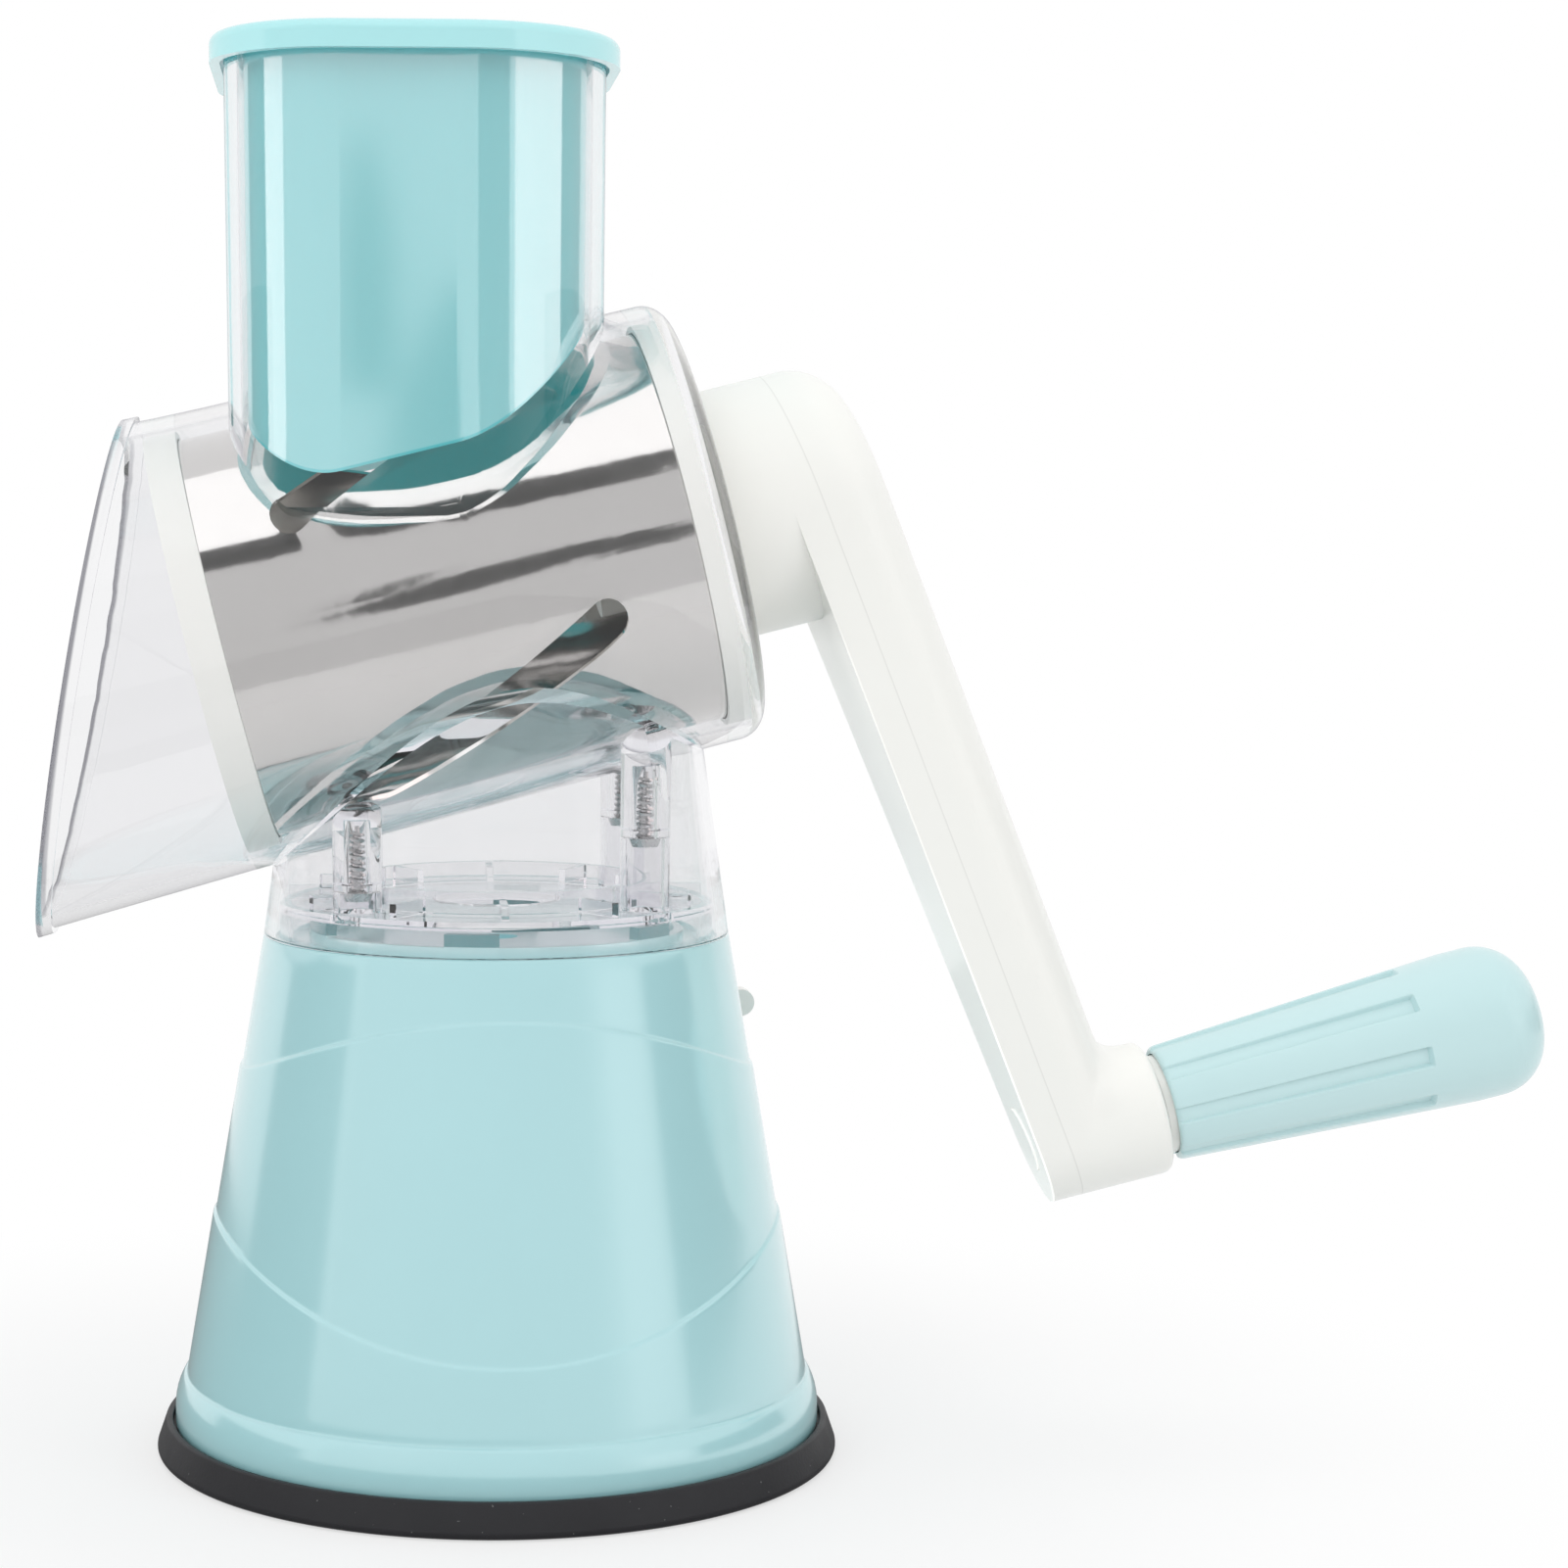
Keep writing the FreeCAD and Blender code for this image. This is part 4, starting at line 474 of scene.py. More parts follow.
aqua = moulded("AquaPlastic", colour(155, 206, 211), colour(160, 211, 216), 0.6, 1.0, 2.3, 0.15)
flat = aqua.node(
    "ShaderNodeVectorMath", {"operation": "MULTIPLY"}, {0: aqua.place(), 1: (1, 1, 0)})
across = aqua.node("ShaderNodeVectorMath", {"operation": "LENGTH"}, {0: flat}, outlet="Value")
height = aqua.part_of(2)
# Painted light on the deck under the drum (a light teal) and painted shade on the tabs' tops (dark
# teal).
deck_painted_light = height.above(deck_height * mm, blur) * (1 - across.above(deck_reach * mm, blur))
tab_tops_painted_shade = height.above(tab_height * mm, blur / 2) * across.above(tab_reach * mm, blur)
aqua.over_colour(deck_painted_light, aqua.tint(tab_tops_painted_shade, colour(202, 240, 242), colour(40, 138, 144)))
# Painted light: the shell's inside faces glow teal, so its hollow isn't dark.
skin = (neck_radius + neck_height * cone_slope - skin_depth) * mm
hollow_painted_glow = 1 - (across + height * cone_slope).above(skin, blur)
hollow_painted_glow = hollow_painted_glow * (1 - height.above(deck_height * mm, blur / 2))
aqua.glow(hollow_painted_glow, 0.5, colour(20, 140, 146))


def cone_radius(height, proud=0.0):
    return neck_radius + (neck_height - height) * cone_slope + proud


def wave_height(turn, middle, radius, crest, proud):
    """Where a wave, an arc seen from the front, crosses the cone at a turn about its axis."""
    height = middle
    for again in range(6):
        x = cone_radius(height, proud) * math.cos(turn)
        drop = radius - math.sqrt(radius * radius - x * x)
        height = middle - drop if crest else middle + drop
    return height


def wave_step(height, above):
    """The soft step that each wave makes, as radius and height: proud below, flush above."""
    rows = []
    for lift, share in (
            (-1.6, 1.0), (-0.9, 1.0), (-0.5, 0.99), (-0.3, 0.94), (-0.15, 0.82), (0.0, 0.6),
            (0.12, 0.35), (0.25, 0.14), (0.4, 0.04), (0.6, 0.0), (1.0, 0.0), (1.8, 0.0)):
        rows.append((cone_radius(height + lift, above + band_step * share), height + lift))
    return rows


shell_foot = rounded([(57.15, 5.0), (60.5, 5.0, 0.5), (60.5, 8.2, 0.0001)])
shell_bead = [
    (60.47, 9.2), (60.35, 10.3), (60.12, 11.4), (59.8, 12.4), (59.45, 13.2), (59.15, 13.8),
    (58.95, 14.15), (58.75, 14.38), (58.55, 14.5), (58.38, 14.58), (58.26, 14.72), (58.2, 15.0)]
shell_top = [(0.1, 96.5), (0.0, 96.8), (-0.12, 97.02), (-0.35, 97.16), (-0.7, 97.2)]
shell_inside = [(41.05, 97.2), (41.05, 96.2), (4.0, 96.2), (4.0, 94.0), (41.6, 94.0), (54.99, 14.8),
                (56.15, 14.8), (56.15, 5.0)]
rings = []
for step in range(base_steps):
    turn = math.tau * step / base_steps
    upper = wave_height(turn, upper_wave, upper_round, True, band_step)
    lower = wave_height(turn, lower_wave, lower_round, False, band_step * 2)
    section = [tuple(point) for point in shell_foot] + shell_bead
    for share in range(10):
        height = bead_top + (lower - wave_reach - bead_top) * share / 10
        section.append((cone_radius(height, band_step * 2), height))
    section += wave_step(lower, band_step)
    for share in range(1, 14):
        height = lower + wave_reach + (upper - lower - wave_reach * 2) * share / 14
        section.append((cone_radius(height, band_step), height))
    section += wave_step(upper, 0.0)
    for share in range(1, 7):
        height = upper + wave_reach + (shoulder - upper - wave_reach) * share / 7
        section.append((cone_radius(height), height))
    section += [(neck_radius + more, height) for more, height in shell_top] + shell_inside
    rings.append([upright(radius * math.cos(turn), radius * math.sin(turn), height)
                  for radius, height in section])


def toward_back(x, y, z):
    """A place on an axis that runs straight back through the lever's hole."""
    return Vector((x, z, lever_height - y)) * mm


def arc_block(inner, outer, low, high, start, end, steps=8):
    """A block that follows a ring between two turns, as points and faces."""
    slices = []
    for step in range(steps + 1):
        turn = math.radians(start + (end - start) * step / steps)
        slices.append([
            upright(radius * math.cos(turn), radius * math.sin(turn), height)
            for radius, height in ((inner, low), (outer, low), (outer, high), (inner, high))])
    points, faces = hoops(slices, open_ends=True)
    last = len(points) - 4
    return points, faces + [(3, 2, 1, 0), (last, last + 1, last + 2, last + 3)]


collar = turned([
    (collar_inner, collar_foot), (collar_outer, collar_foot), (collar_outer, collar_top, 0.3),
    (collar_inner, collar_top, 0.3)], steps=120)
tabs = []
for number in range(tab_count):
    middle = tab_middle + 360 * number / tab_count
    tabs.append(arc_block(
        collar_inner, collar_outer, tab_foot, tab_top, middle - tab_half, middle + tab_half))
boss = turned([
    (boss_hole, boss_start), (boss_radius, boss_start), (boss_radius, lever_face, 0.8),
    (boss_hole, lever_face, 0.3)], toward_back)
posts = []
for number in range(post_count):
    turn = math.radians(45 + 360 * number / post_count)
    x, y = post_circle * math.cos(turn), post_circle * math.sin(turn)
    posts.append(turned([
        (post_hole, post_foot), (post_radius, post_foot), (post_radius, post_top),
        (post_hole, post_top)], lambda a, b, z, x=x, y=y: Vector((x + a, y + b, z)) * mm, 24))
shaped("BaseShell", joined(hoops(rings), boss, collar, *tabs, *posts), aqua, "base", "base_shell",
       crease=40)

# Works of the suction foot: the white chassis, its screws, spring, cam shaft, stem and cam, and
# the lever at the back. They are as the CAD has them, in moulded and in plated finishes. In the
# grater the stem squeezes the spring against the chassis as it lifts; here the spring is a copy
# of the CAD's, riding with the base.
white = moulded("WhitePlastic", colour(236, 236, 232), colour(240, 240, 236), 0.5, 0.2)
zinc = Finish("ZincSteel", Metallic=1.0, Roughness=0.25)
zinc.drive("Base Color", zinc.tint(
    zinc.noise(0.003, detail=4), colour(196, 196, 199), colour(226, 225, 222)))
zinc.drive("Roughness", 0.18 + 0.2 * zinc.noise(0.0012, detail=5))
zinc.bump(zinc.noise(0.0006, detail=4), 0.00001)


def painted(finish, *nodes):
    """CAD nodes that keep their shape and get a finish."""
    for node in nodes:
        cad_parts[node].data.materials[0] = finish.material


painted(white, "suction_chassis", "pull_stem", "lift_cam", "suction_lever")
painted(zinc, "base_screws", "return_spring", "cam_shaft", "lever_screw")
spring_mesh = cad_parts["return_spring"].data.copy()
spring = bpy.data.objects.new("ReturnSpring", spring_mesh)
bpy.context.scene.collection.objects.link(spring)
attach(spring, "base")
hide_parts("return_spring")
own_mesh(spring)

# Housing: one clear moulding of neck, barrel, spout, hopper and bearing, with a clear plate in its
# foot that twists into the base's collar. The walls are polished and wave a little. The spout's lip
# has painted grey shade, and above the neck the walls get painted grey shade where seen edge on.
clear_white, lip_shade_grey, edge_shade_grey = colour(245, 245, 246), colour(150, 150, 156), colour(170, 170, 178)
lip_way, lip_start, lip_width, lip_blur = (0.9864, 0, -0.1647), -99.46, 0.8, 0.5
wall_limit, bounce_limit, mirror_limit, limit_blur = 6.5, 7.5, 1.5, 1.0
edge_start, edge_blur, edge_share = 0.88, 0.16, 0.4
edge_height, edge_height_blur = 127.0, 10.0
clear = Finish("ClearPlastic", Base_Color=(*clear_white, 1), Roughness=0.02, IOR=1.46,
               Transmission_Weight=1.0)
clear.bump(clear.noise(0.022, detail=1), 0.0001)
# Painted shade: a grey band along the spout's lip.
lip_shade = 1 - (clear.dot(lip_way) - lip_start * mm).above(lip_width * mm, lip_blur * mm)
clear.drive("Base Color", clear.tint(lip_shade, clear_white, lip_shade_grey))
passed = ray(clear, "Transmission Depth").above(wall_limit, limit_blur)
passed = passed.most(ray(clear, "Ray Depth").above(bounce_limit, limit_blur))
passed = passed.most(ray(clear, "Glossy Depth").above(mirror_limit, limit_blur))
clear.mixed(passed, "ShaderNodeBsdfTransparent", Color=(*colour(251, 251, 252), 1))
# Painted shade: above the neck, faces seen edge on get a grey see-through layer.
facing = clear.node("ShaderNodeLayerWeight", values={"Blend": 0.5}, outlet="Facing")
over_neck = clear.part_of(2).above(edge_height * mm, edge_height_blur * mm)
clear.mixed(facing.above(edge_start, edge_blur) * over_neck * edge_share,
            "ShaderNodeBsdfTransparent", Color=(*edge_shade_grey, 1))
painted(clear, "barrel_housing", "neck_plate")
for node in ("barrel_housing", "neck_plate"):
    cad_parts[node].visible_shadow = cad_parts[node].visible_diffuse = False

# Body screws: four zinc-plated pan-head screws that hold the plate to the housing's bosses, low
# ones at the spout and high ones at the crank. The thread is a ridge wound round the shank.
screw_places = [
    (-25.6, -21.6, 108.4), (-25.6, 21.6, 108.4), (25.6, -21.6, 118.0), (25.6, 21.6, 118.0)]
screw_seat = 1.5


def screw_tree():
    """A node group that sets a screw on each point; its sizes are in metres."""
    tree = bpy.data.node_groups.new("ScrewOnPoint", "GeometryNodeTree")
    face = tree.interface
    face.new_socket("Points", in_out="INPUT", socket_type="NodeSocketGeometry")
    sizes = {}
    for label, kind in (
            ("Shank Radius", "Float"), ("Shank Length", "Float"), ("Head Radius", "Float"),
            ("Head Height", "Float"), ("Pitch", "Float"), ("Finish", "Material")):
        sizes[label] = face.new_socket(
            label, in_out="INPUT", socket_type="NodeSocket" + kind).identifier
    face.new_socket("Screws", in_out="OUTPUT", socket_type="NodeSocketGeometry")

    def node(kind, settings=None, links=None, values=None):
        made = tree.nodes.new(kind)
        for setting, value in (settings or {}).items():
            setattr(made, setting, value)
        for socket, value in (values or {}).items():
            made.inputs[socket].default_value = value
        for socket, outlet in (links or {}).items():
            tree.links.new(outlet, made.inputs[socket])
        return made

    def sums(operation, first, second):
        made = node("ShaderNodeMath", {"operation": operation})
        for place, value in enumerate((first, second)):
            if isinstance(value, (int, float)):
                made.inputs[place].default_value = value
            else:
                tree.links.new(value, made.inputs[place])
        return made.outputs[0]

    given = node("NodeGroupInput").outputs
    radius, length, pitch = given["Shank Radius"], given["Shank Length"], given["Pitch"]
    shank = node("GeometryNodeMeshCone", links={
        "Radius Top": sums("MULTIPLY", radius, 0.25), "Radius Bottom": sums("MULTIPLY", radius, 0.72),
        "Depth": length}, values={"Vertices": 24, "Side Segments": 4})
    turns = sums("DIVIDE", length, pitch)
    spiral = node("GeometryNodeCurveSpiral", values={"Resolution": 20, "Reverse": False}, links={
        "Rotations": turns, "Start Radius": sums("MULTIPLY", radius, 0.78),
        "End Radius": sums("MULTIPLY", radius, 0.62), "Height": sums("MULTIPLY", length, 0.9)})
    ridge = node("GeometryNodeCurvePrimitiveCircle", {"mode": "RADIUS"}, values={"Resolution": 4},
                 links={"Radius": sums("MULTIPLY", pitch, 0.3)})
    thread = node("GeometryNodeCurveToMesh", links={
        "Curve": spiral.outputs[0], "Profile Curve": ridge.outputs[0]}, values={"Fill Caps": True})
    disc = node("GeometryNodeMeshCone", values={"Vertices": 40, "Side Segments": 1}, links={
        "Radius Top": given["Head Radius"], "Depth": given["Head Height"],
        "Radius Bottom": sums("MULTIPLY", given["Head Radius"], 0.8)})
    parts = node("GeometryNodeJoinGeometry")
    lowered = node("ShaderNodeCombineXYZ", links={"Z": sums("MULTIPLY", given["Head Height"], -1.0)})
    head = node("GeometryNodeTransform", links={
        "Geometry": disc.outputs[0], "Translation": lowered.outputs[0]})
    for made in (head, thread, shank):
        tree.links.new(made.outputs[0], parts.inputs[0])
    screws = node("GeometryNodeInstanceOnPoints", links={
        "Points": given["Points"], "Instance": parts.outputs[0]})
    real = node("GeometryNodeRealizeInstances", links={"Geometry": screws.outputs[0]})
    smooth = node("GeometryNodeSetShadeSmooth", links={"Geometry": real.outputs[0]},
                  values={"Shade Smooth": False})
    finished = node("GeometryNodeSetMaterial", links={
        "Geometry": smooth.outputs[0], "Material": given["Finish"]})
    tree.links.new(finished.outputs[0], node("NodeGroupOutput").inputs[0])
    return tree, sizes


tree, sizes = screw_tree()
seats = bpy.data.meshes.new("ScrewSeats")
seats.from_pydata([upright(x, y, top - screw_seat) for x, y, top in screw_places], [], [])
holder = bpy.data.objects.new("ScrewSeats", seats)
bpy.context.scene.collection.objects.link(holder)
maker = holder.modifiers.new("Screws", "NODES")
maker.node_group = tree
for label, value in (("Shank Radius", 1.7 * mm), ("Shank Length", 12.0 * mm), ("Head Radius", 2.8 * mm),
                     ("Head Height", 1.6 * mm), ("Pitch", 1.15 * mm), ("Finish", zinc.material)):
    maker[sizes[label]] = value
plain = bpy.data.meshes.new_from_object(holder.evaluated_get(bpy.context.evaluated_depsgraph_get()))
holder.modifiers.clear()
body_screws = bpy.data.objects.new("BodyScrews", plain)
bpy.context.scene.collection.objects.link(body_screws)
bpy.data.objects.remove(holder)
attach(body_screws, "base")
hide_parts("body_screws")

# Pusher: an aqua cup that rides down in the hopper, in a deeper tint of the base's plastic, seen
# through the clear wall. Its rim hangs over the hopper's edge. Its foot, hollowed to the drum, has
# painted shade, a deeper teal, and a painted teal glow for light bounced inside the cup.
barrel_tilt, barrel_middle = math.radians(14.0), 164.2
foot_reach, foot_blur = 43.75, 0.2
deep_aqua = moulded(
    "DeepAquaPlastic", colour(133, 217, 221), colour(139, 222, 226), 0.3, 1.0, 3.3, 0.08)
over_axis = deep_aqua.dot((-math.sin(barrel_tilt), 0, math.cos(barrel_tilt)))
over_axis = over_axis - barrel_middle * math.cos(barrel_tilt) * mm
from_axis = (over_axis ** 2 + deep_aqua.part_of(1) ** 2) ** 0.5
# Painted shade and light: the foot is tinted deep teal and glows teal.
foot_painted_teal = 1 - from_axis.above(foot_reach * mm, foot_blur * mm)
deep_aqua.over_colour(foot_painted_teal, colour(56, 182, 188))
deep_aqua.glow(foot_painted_teal, 0.5, colour(10, 140, 144))
painted(deep_aqua, "pusher")

# Drum shell: a tube of thin polished steel with four slanted slicing slots. The lower edge of each
# slot is pressed out into a blade that dies away into the tube. A white ring is pressed on the open
# end, and a white cap closes the crank's end.
steel_front, steel_back, steel_radius, steel_wall = -55.6, 37.2, 37.05, 0.8
steel_draft = math.tan(math.radians(0.65))
slot_middle, slot_slant, slot_phase, slot_count = -9.0, math.radians(27.2), -39.0, 4
slot_half_length, slot_half_width, slant_reach = 31.5, 3.6, 31.0
slot_turn, slot_view, no_slot = math.tau / slot_count, 1.4, 99.0
blade_lift, blade_spread, blade_tip, blade_end, blade_side = 0.9, 7.5, 1.0, 7.0, 3.0
between = 13
steel = Finish("PolishedSteel", Metallic=1.0, Roughness=0.08)
steel.drive("Base Color", steel.tint(
    steel.noise(0.03, detail=3), colour(218, 216, 213), colour(226, 224, 222)))
steel.drive("Roughness", 0.05 + 0.06 * steel.noise(0.005, detail=4))
steel.bump(steel.noise(0.011, detail=3), 0.00004)


def along_barrel(across, up, place):
    """A point given square to the barrel's axis and along it, in millimetres."""
    return Vector((
        place * math.cos(barrel_tilt) - up * math.sin(barrel_tilt), across,
        barrel_middle + place * math.sin(barrel_tilt) + up * math.cos(barrel_tilt))) * mm


def spread(stops):
    """Places in order: each stop gives an end and how many steps lead to it."""
    places = [stops[0][0]]
    for end, steps in stops[1:]:
        first = places[-1]
        places += [first + (end - first) * step / steps for step in range(1, steps + 1)]
    return np.array(places)


rows = spread([(steel_front, 1), (-39.5, 14), (-31.5, 22), (12.5, 34), (20.0, 22), (steel_back, 16)])
beside = spread([
    (-10.5, 1), (-7.5, 3), (-4.6, 5), (-slot_half_width, 4), (slot_half_width, 6), (4.6, 4), (8.0, 4)])
tangent = math.tan(slot_slant)
slide = np.clip(rows - slot_middle, -slant_reach, slant_reach) * tangent
columns = []
for number in range(slot_count):
    turn = math.radians(slot_phase + 360 / slot_count * number)
    for away in beside:
        columns.append(turn + np.arcsin((slide + away / math.cos(slot_slant)) / steel_radius))
    after = turn + slot_turn + np.arcsin((slide + beside[0] / math.cos(slot_slant)) / steel_radius)
    last = columns[-1]
    for step in range(1, between + 1):
        columns.append(last + (after - last) * step / (between + 1))
turns = np.array(columns).T
places = np.repeat(rows[:, None], turns.shape[1], axis=1)
sector = len(beside) + between


def slot_gap(place, turn, number):
    """How far a point is outside its slot, and which way out is, in the plane of the slot."""
    x = place - slot_middle
    y = steel_radius * np.sin(turn - np.radians(slot_phase) - number * slot_turn)
    run = np.clip(x * math.cos(slot_slant) + y * math.sin(slot_slant),
                  -slot_half_length + slot_half_width, slot_half_length - slot_half_width)
    away_x, away_y = x - run * math.cos(slot_slant), y - run * math.sin(slot_slant)
    distance = np.hypot(away_x, away_y)
    side = away_y * math.cos(slot_slant) - away_x * math.sin(slot_slant)
    return distance - slot_half_width, away_x, away_y, distance, side, x, y


number = (np.arange(turns.shape[1]) // sector)[None, :]
next_turns = np.roll(turns, -1, axis=1)
next_turns[:, -1] += math.tau
centre_place = (places[:-1] + places[1:]) / 2
centre_turn = (turns[:-1] + turns[1:] + next_turns[:-1] + next_turns[1:]) / 4
near = np.abs(centre_turn - np.radians(slot_phase) - number * slot_turn) < slot_view
gap = slot_gap(centre_place, centre_turn, number)[0]
kept = ~(near & (gap < 0))
touched_kept = np.zeros(turns.shape, bool)
touched_cut = np.zeros(turns.shape, bool)
for row_shift in (0, 1):
    for step_shift in (0, 1):
        for flags, target in ((kept, touched_kept), (~kept, touched_cut)):
            rolled = np.roll(flags, step_shift, axis=1)
            target[row_shift:row_shift + rolled.shape[0]] |= rolled
edge = touched_kept & touched_cut
gap, away_x, away_y, distance, side, x, y = slot_gap(places, turns, number)
pull = np.where(edge, -gap / np.maximum(distance, 0.1), 0.0)
places = places + away_x * pull
new_y = np.clip((y + away_y * pull) / steel_radius, -0.999, 0.999)
turns = np.where(edge, np.arcsin(new_y) + np.radians(slot_phase) + number * slot_turn, turns)
gap, away_x, away_y, distance, side, x, y = slot_gap(places, turns, number)
near = np.abs(turns - np.radians(slot_phase) - number * slot_turn) < slot_view
gap = np.where(near, gap, no_slot)
fall = np.clip(1 - np.maximum(gap, 0) / blade_spread, 0, 1)
along = np.abs(x * math.cos(slot_slant) + y * math.sin(slot_slant))
ends = np.clip((slot_half_length - blade_tip - along) / blade_end, 0, 1)
lift = blade_lift * fall ** 2 * ends ** 2 * (3 - 2 * ends) * np.clip(-side / blade_side, 0, 1)
skins = []
for wall in (0.0, steel_wall):
    reach = steel_radius - places * steel_draft - wall + lift
    skins.append([along_barrel(-r * math.cos(t), r * math.sin(t), p) for r, t, p in zip(
        reach.ravel(), turns.ravel(), places.ravel())])
row_count, around = turns.shape
inside = row_count * around
faces = []
edge_use = {}
for row in range(row_count - 1):
    for step in range(around):
        if kept[row, step]:
            beyond = (step + 1) % around
            corners = (row * around + step, row * around + beyond,
                       (row + 1) * around + beyond, (row + 1) * around + step)
            faces.append(corners)
            faces.append(tuple(corner + inside for corner in reversed(corners)))
            for first, second in zip(corners, corners[1:] + corners[:1]):
                key = (min(first, second), max(first, second))
                edge_use[key] = None if key in edge_use else (first, second)
for used in edge_use.values():
    if used:
        first, second = used
        faces.append((second, first, first + inside, second + inside))
shaped("DrumShell", (skins[0] + skins[1], faces), steel, "drum", "drum_shell", crease=35)
painted(white, "drum_front_ring", "drum_rear_cap")

# Crank: two white hollow halves that snap together along a seam. The outer half is rounded like a
# pebble and flows into the boss that carries the knob; the drive screw holds it to the shaft. The
# arm's shaded back gets a painted glow that lightens it, most of it low down.
seam_place, seam_width = 59.2, 0.24
arm_lean = math.radians(8.0)
arm_slope = math.tan(arm_lean)
back_level, back_blur = 53.7, 0.2
lit_below, lit_blur, full_below, full_blur = -26.0, 8.0, -83.0, 45.0
least_light, light_strength = 0.36, 0.32
crank_reach = 128.7
hub_radius, arm_end_radius = 23.3, 12.7
arm_outer, arm_edge, arm_wall = 72.0, 9.0, 2.2
boss_end, boss_edge = 97.0, 1.8
web, web_start, web_foot, web_rise, web_run = 6.0, 64.0, 2.0, 10.0, 8.0
tube_bore, tube_radius, tube_start, tube_stop = 3.0, 5.6, 0.9, 1.0
grid_low, grid_high, grid_cell = (-26.0, -145.0, seam_place - 2.5), (26.0, 27.0, 84.0), 0.9
even_white = colour(238, 238, 234)
crank_white = moulded("CrankPlastic", even_white, even_white, 0.5, 0.2)
axis = Vector((math.cos(barrel_tilt), 0, math.sin(barrel_tilt)))
upward = Vector((-math.sin(barrel_tilt), 0, math.cos(barrel_tilt)))
leaning = axis + upward * arm_slope
level = crank_white.dot(leaning) - leaning.z * barrel_middle * mm
from_seam = (level - seam_place * mm).size()
seam = 1 - from_seam.above(seam_width / 2 * mm, seam_width / 2 * mm)
crank_white.over_colour(seam, colour(226, 226, 222))
# Painted light: the arm's shaded back face glows white, more so low down.
height = crank_white.dot(upward) - upward.z * barrel_middle * mm
back_face = 1 - level.above(back_level * mm, back_blur * mm)
back_face = back_face * (1 - height.above(lit_below * mm, lit_blur * mm))
low_down = 1 - height.above(full_below * mm, full_blur * mm)
painted_back_light = back_face * (least_light + low_down * (1 - least_light))
crank_white.glow(painted_back_light, light_strength, (1, 1, 0.98))
painted(crank_white, "crank_inner", "axle_cap")
painted(white, "drive_shaft")
painted(zinc, "drive_screw", "knob_axle")


def rounded_meet(first, second, radius):
    """How far a point is outside both of two faces, whose meeting edge is rounded."""
    first, second = first + radius, second + radius
    return np.minimum(np.maximum(first, second), 0) + np.hypot(
        np.maximum(first, 0), np.maximum(second, 0)) - radius


def eased(share):
    share = np.clip(share, 0, 1)
    return share * share * (3 - 2 * share)


def crank_gap(across, up, level):
    """How far a point is outside the outer half. Its level is 0 where the arm crosses the axis, and
    its planes of one level lean with the arm. The arm flows into the boss by a soft web."""
    lean = (hub_radius - arm_end_radius) / crank_reach
    side = math.sqrt(1 - lean * lean)
    run = -up * side - np.abs(across) * lean
    drop = np.where(run < 0, np.hypot(across, up) - hub_radius, np.where(
        run > side * crank_reach, np.hypot(across, up + crank_reach) - arm_end_radius,
        np.abs(across) * side - up * lean - hub_radius))
    arm = rounded_meet(drop, (level - arm_outer) * math.cos(arm_lean), arm_edge)
    place = level - arm_slope * up
    boss = rounded_meet(
        np.hypot(across, up + crank_reach) - arm_end_radius, place - boss_end, boss_edge)
    rise = eased((up + crank_reach + web_foot) / web_rise)
    soft = 0.01 + web * rise * eased((level - web_start) / web_run)
    near = np.maximum(soft - np.abs(arm - boss), 0) / soft
    return np.minimum(arm, boss) - near * near * soft / 4


def skin_where_zero(gap, low, high, step):
    """A closed skin of four-sided faces, one corner to a cell, laid where a distance is zero."""
    spots = np.stack(np.meshgrid(
        *[np.arange(first, last, step) for first, last in zip(low, high)], indexing="ij"), -1)
    inside = gap(*np.moveaxis(spots, -1, 0)) < 0
    near = [slice(0, -1), slice(1, None)]
    full = sum(inside[i, j, k].astype(int) for i in near for j in near for k in near)
    crossed = (full > 0) & (full < 8)
    index = np.full(crossed.shape, -1)
    index[crossed] = np.arange(crossed.sum())
    middle = spots[:-1, :-1, :-1][crossed] + step / 2
    points = middle.copy()
    tiny = 0.01
    for again in range(8):
        here = gap(*points.T)
        rise = np.stack([(gap(*(points + way).T) - gap(*(points - way).T)) / (2 * tiny)
                         for way in np.eye(3) * tiny], -1)
        points = points - rise * (here / np.maximum((rise * rise).sum(-1), 0.2))[:, None]
        points = np.clip(points, middle - step * 0.7, middle + step * 0.7)
    faces = []
    for axis in range(3):
        first, second = [other for other in range(3) if other != axis]
        ahead = np.diff(inside.astype(int), axis=axis)
        for flip in np.argwhere(ahead != 0):
            if flip[first] == 0 or flip[second] == 0:
                continue
            corners = []
            for back_first, back_second in ((0, 0), (1, 0), (1, 1), (0, 1)):
                cell = flip.copy()
                cell[first] -= back_first
                cell[second] -= back_second
                corners.append(index[tuple(cell)])
            faces.append(corners)
    return points, faces


def crank_half():
    """The outer half as points and faces: a wall all round, cut off flat at the seam."""
    work = bmesh.new()
    for inward in (0.0, arm_wall):
        points, faces = skin_where_zero(
            lambda across, up, level: crank_gap(across, up, level) + inward,
            grid_low, grid_high, grid_cell)
        corners = [work.verts.new(point) for point in points]
        for face in faces:
            work.faces.new([corners[corner] for corner in face])
    cut = bmesh.ops.bisect_plane(
        work, geom=work.verts[:] + work.edges[:] + work.faces[:], dist=1e-5,
        plane_co=(0, 0, seam_place), plane_no=(0, 0, 1), clear_inner=True)
    rim = [thing for thing in cut["geom_cut"] if isinstance(thing, bmesh.types.BMEdge)]
    bmesh.ops.triangle_fill(work, edges=rim, normal=(0, 0, -1), use_beauty=True)
    work.verts.index_update()
    points = [along_barrel(corner.co.x, corner.co.y, corner.co.z - arm_slope * corner.co.y)
              for corner in work.verts]
    faces = [tuple(corner.index for corner in face.verts) for face in work.faces]
    work.free()
    return points, faces


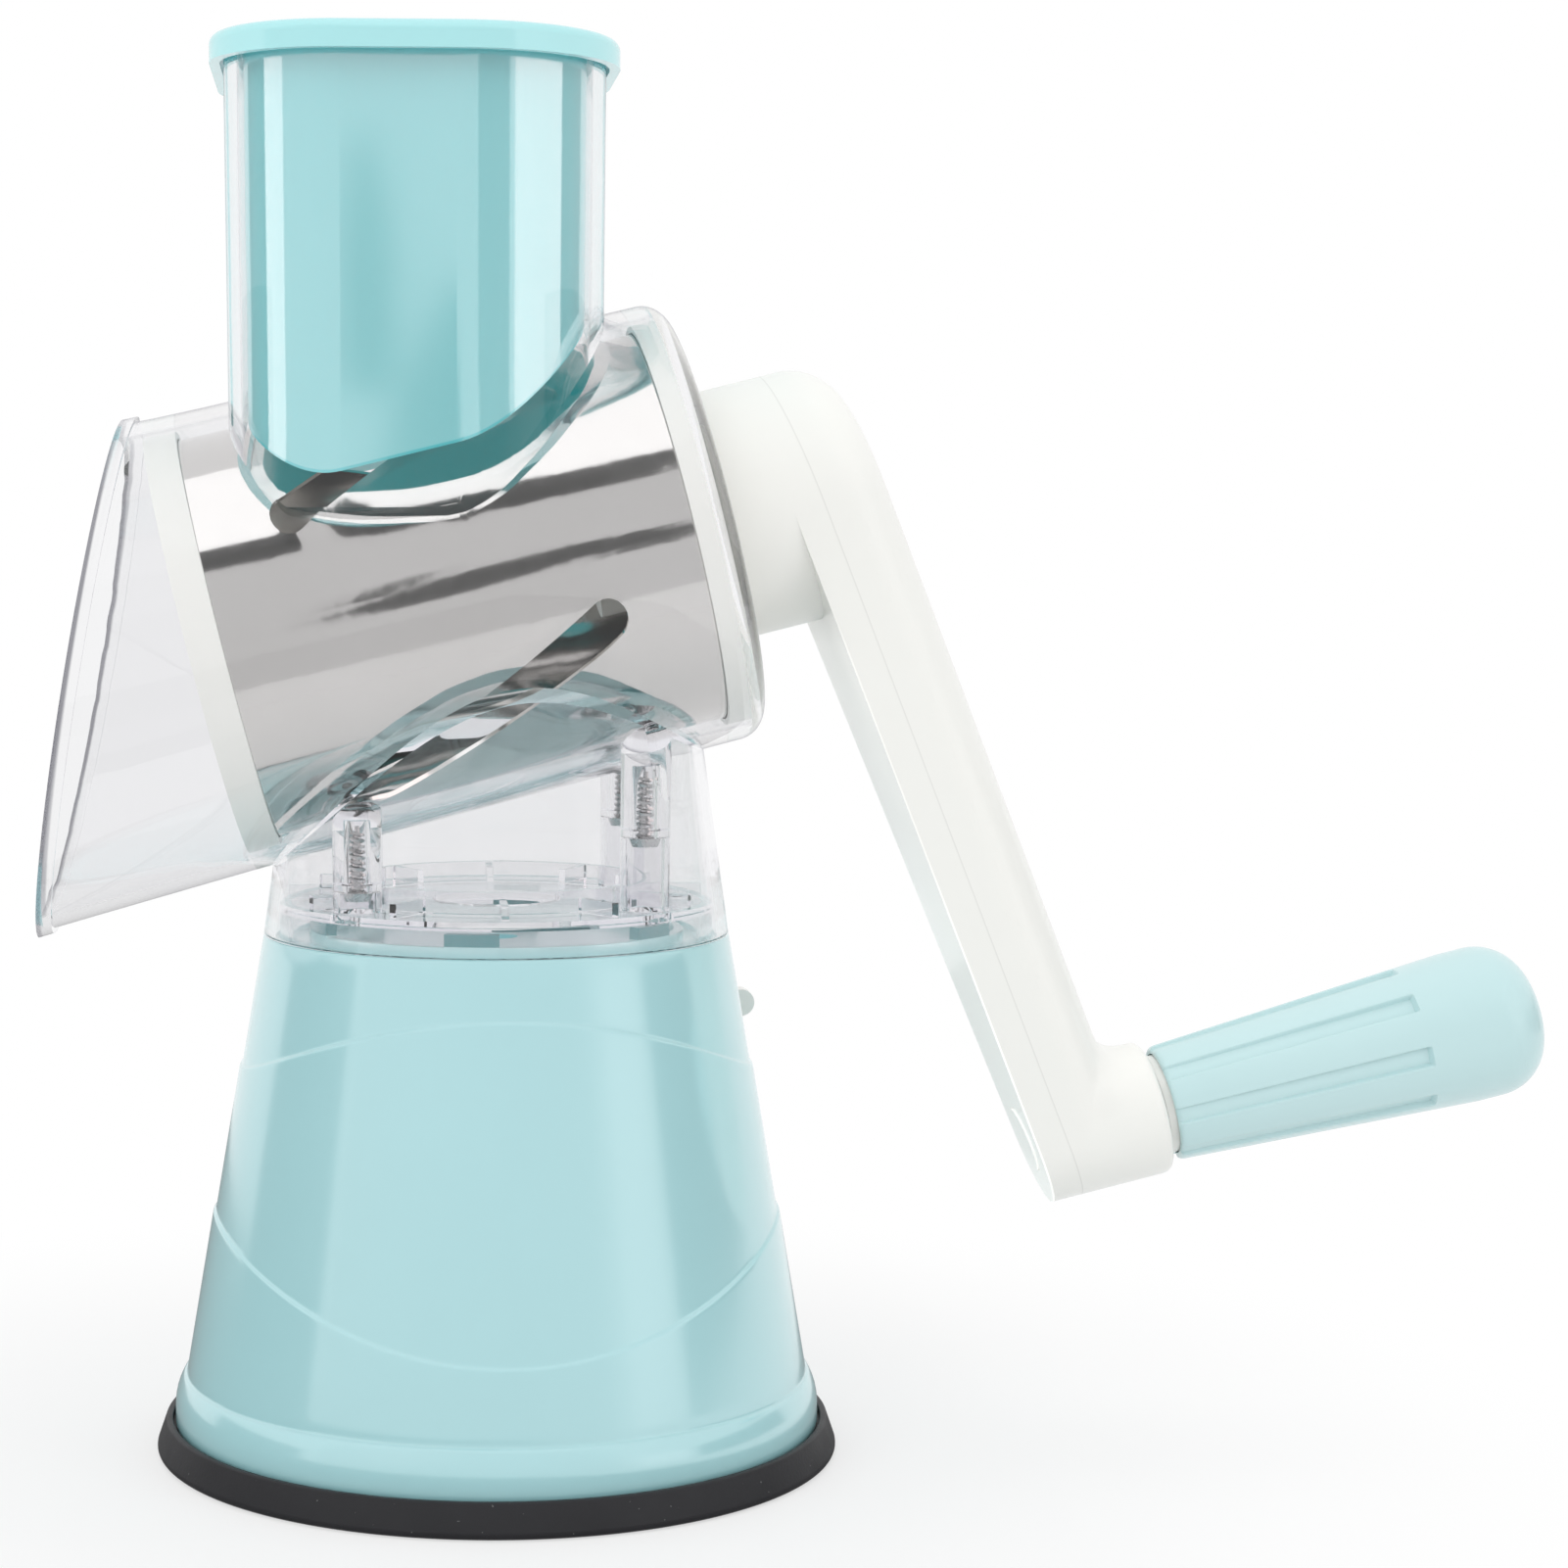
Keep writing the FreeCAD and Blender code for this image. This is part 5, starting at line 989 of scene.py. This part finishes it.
def along_knob(across, up, place):
    return along_barrel(across, up - crank_reach, place)


boss_seam = seam_place + arm_slope * crank_reach + tube_start
knob_tube = turned([
    (tube_bore, boss_seam), (tube_radius, boss_seam), (tube_radius, boss_end - tube_stop),
    (tube_bore, boss_end - tube_stop)], along_knob, 48)
shaped("CrankOuter", joined(crank_half(), knob_tube), crank_white, "crank", "crank_outer", crease=50)

# Knob: an aqua grip, pushed on a white bush whose steel axle turns in the boss of the crank. Its
# eight flutes start at the mouth, get deeper along it and end in a step before the rounded end.
grip_start, grip_end, grip_round = 98.8, 171.4, 9.5
grip_thin, grip_thick, thick_start = 11.0, 14.4, 156.9
flute_count, flute_end, flute_half_width, flute_turn = 8, 147.6, 1.7, 4.0
flute_edge, flute_first, flute_more, flute_stop = 0.32, 0.5, 0.6, 0.7
mean_radius = 13.0
bore_end, bore_radius, mouth_end, mouth_radius = 142.2, 9.1, 101.9, 9.7
grip_aqua = moulded("GripPlastic", colour(187, 218, 220), colour(192, 222, 224), 0.5, 0.5, 1.7, 0.2)


def grip_radius(place):
    return grip_thin + (place - grip_start) * (grip_thick - grip_thin) / (thick_start - grip_start)


def flute_depth(place):
    deep = flute_first + flute_more * (place - grip_start) / (flute_end - grip_start)
    return deep * min(1.0, max(0.0, (flute_end - place) / flute_stop))


grip_rows = [(place, grip_radius(place) - slack) for place, slack in (
    (grip_start, 0.55), (grip_start + 0.15, 0.3), (grip_start + 0.5, 0.08), (grip_start + 1.0, 0.0))]
grip_rows += [(place, grip_radius(place)) for place in spread([
    (101.0, 1), (146.4, 24), (148.0, 16), (thick_start, 8)])]
grip_rows += [(place, grip_thick) for place in (158.5, 160.2, grip_end - grip_round)]
for step in range(1, 21):
    turn = math.pi / 2 * step / 20
    grip_rows.append((grip_end - grip_round + grip_round * math.sin(turn),
                      grip_thick - grip_round + grip_round * math.cos(turn)))
grip_rows += [(grip_end, radius) for radius in (3.5, 0.0)]
grip_turns = []
for number in range(flute_count):
    middle = math.radians(flute_turn) + math.tau * number / flute_count
    for away in (-2.3, -1.95, -1.8, -1.68, -1.52, -1.35, -0.7, 0, 0.7, 1.35, 1.52, 1.68, 1.8, 1.95, 2.3,
                 2.9, 3.6, 4.3, 5.0, 5.7, 6.4):
        within = min(1.0, max(0.0, (flute_half_width + flute_edge / 2 - abs(away)) / flute_edge))
        grip_turns.append((middle + away / mean_radius, within * within * (3 - 2 * within)))
rings = []
for place, radius in grip_rows:
    ring = []
    for turn, share in grip_turns:
        reach = radius - flute_depth(place) * share
        ring.append(along_knob(reach * math.cos(turn), reach * math.sin(turn), place))
    rings.append(ring)
for place, radius in ((bore_end, 0.0), (bore_end, bore_radius), (mouth_end, bore_radius),
                      (mouth_end, mouth_radius), (grip_start, mouth_radius)):
    rings.append([along_knob(radius * math.cos(turn), radius * math.sin(turn), place)
                  for turn, share in grip_turns])
shaped("KnobGrip", hoops(rings), grip_aqua, "knob", "knob_grip", crease=50)
painted(white, "knob_bush")
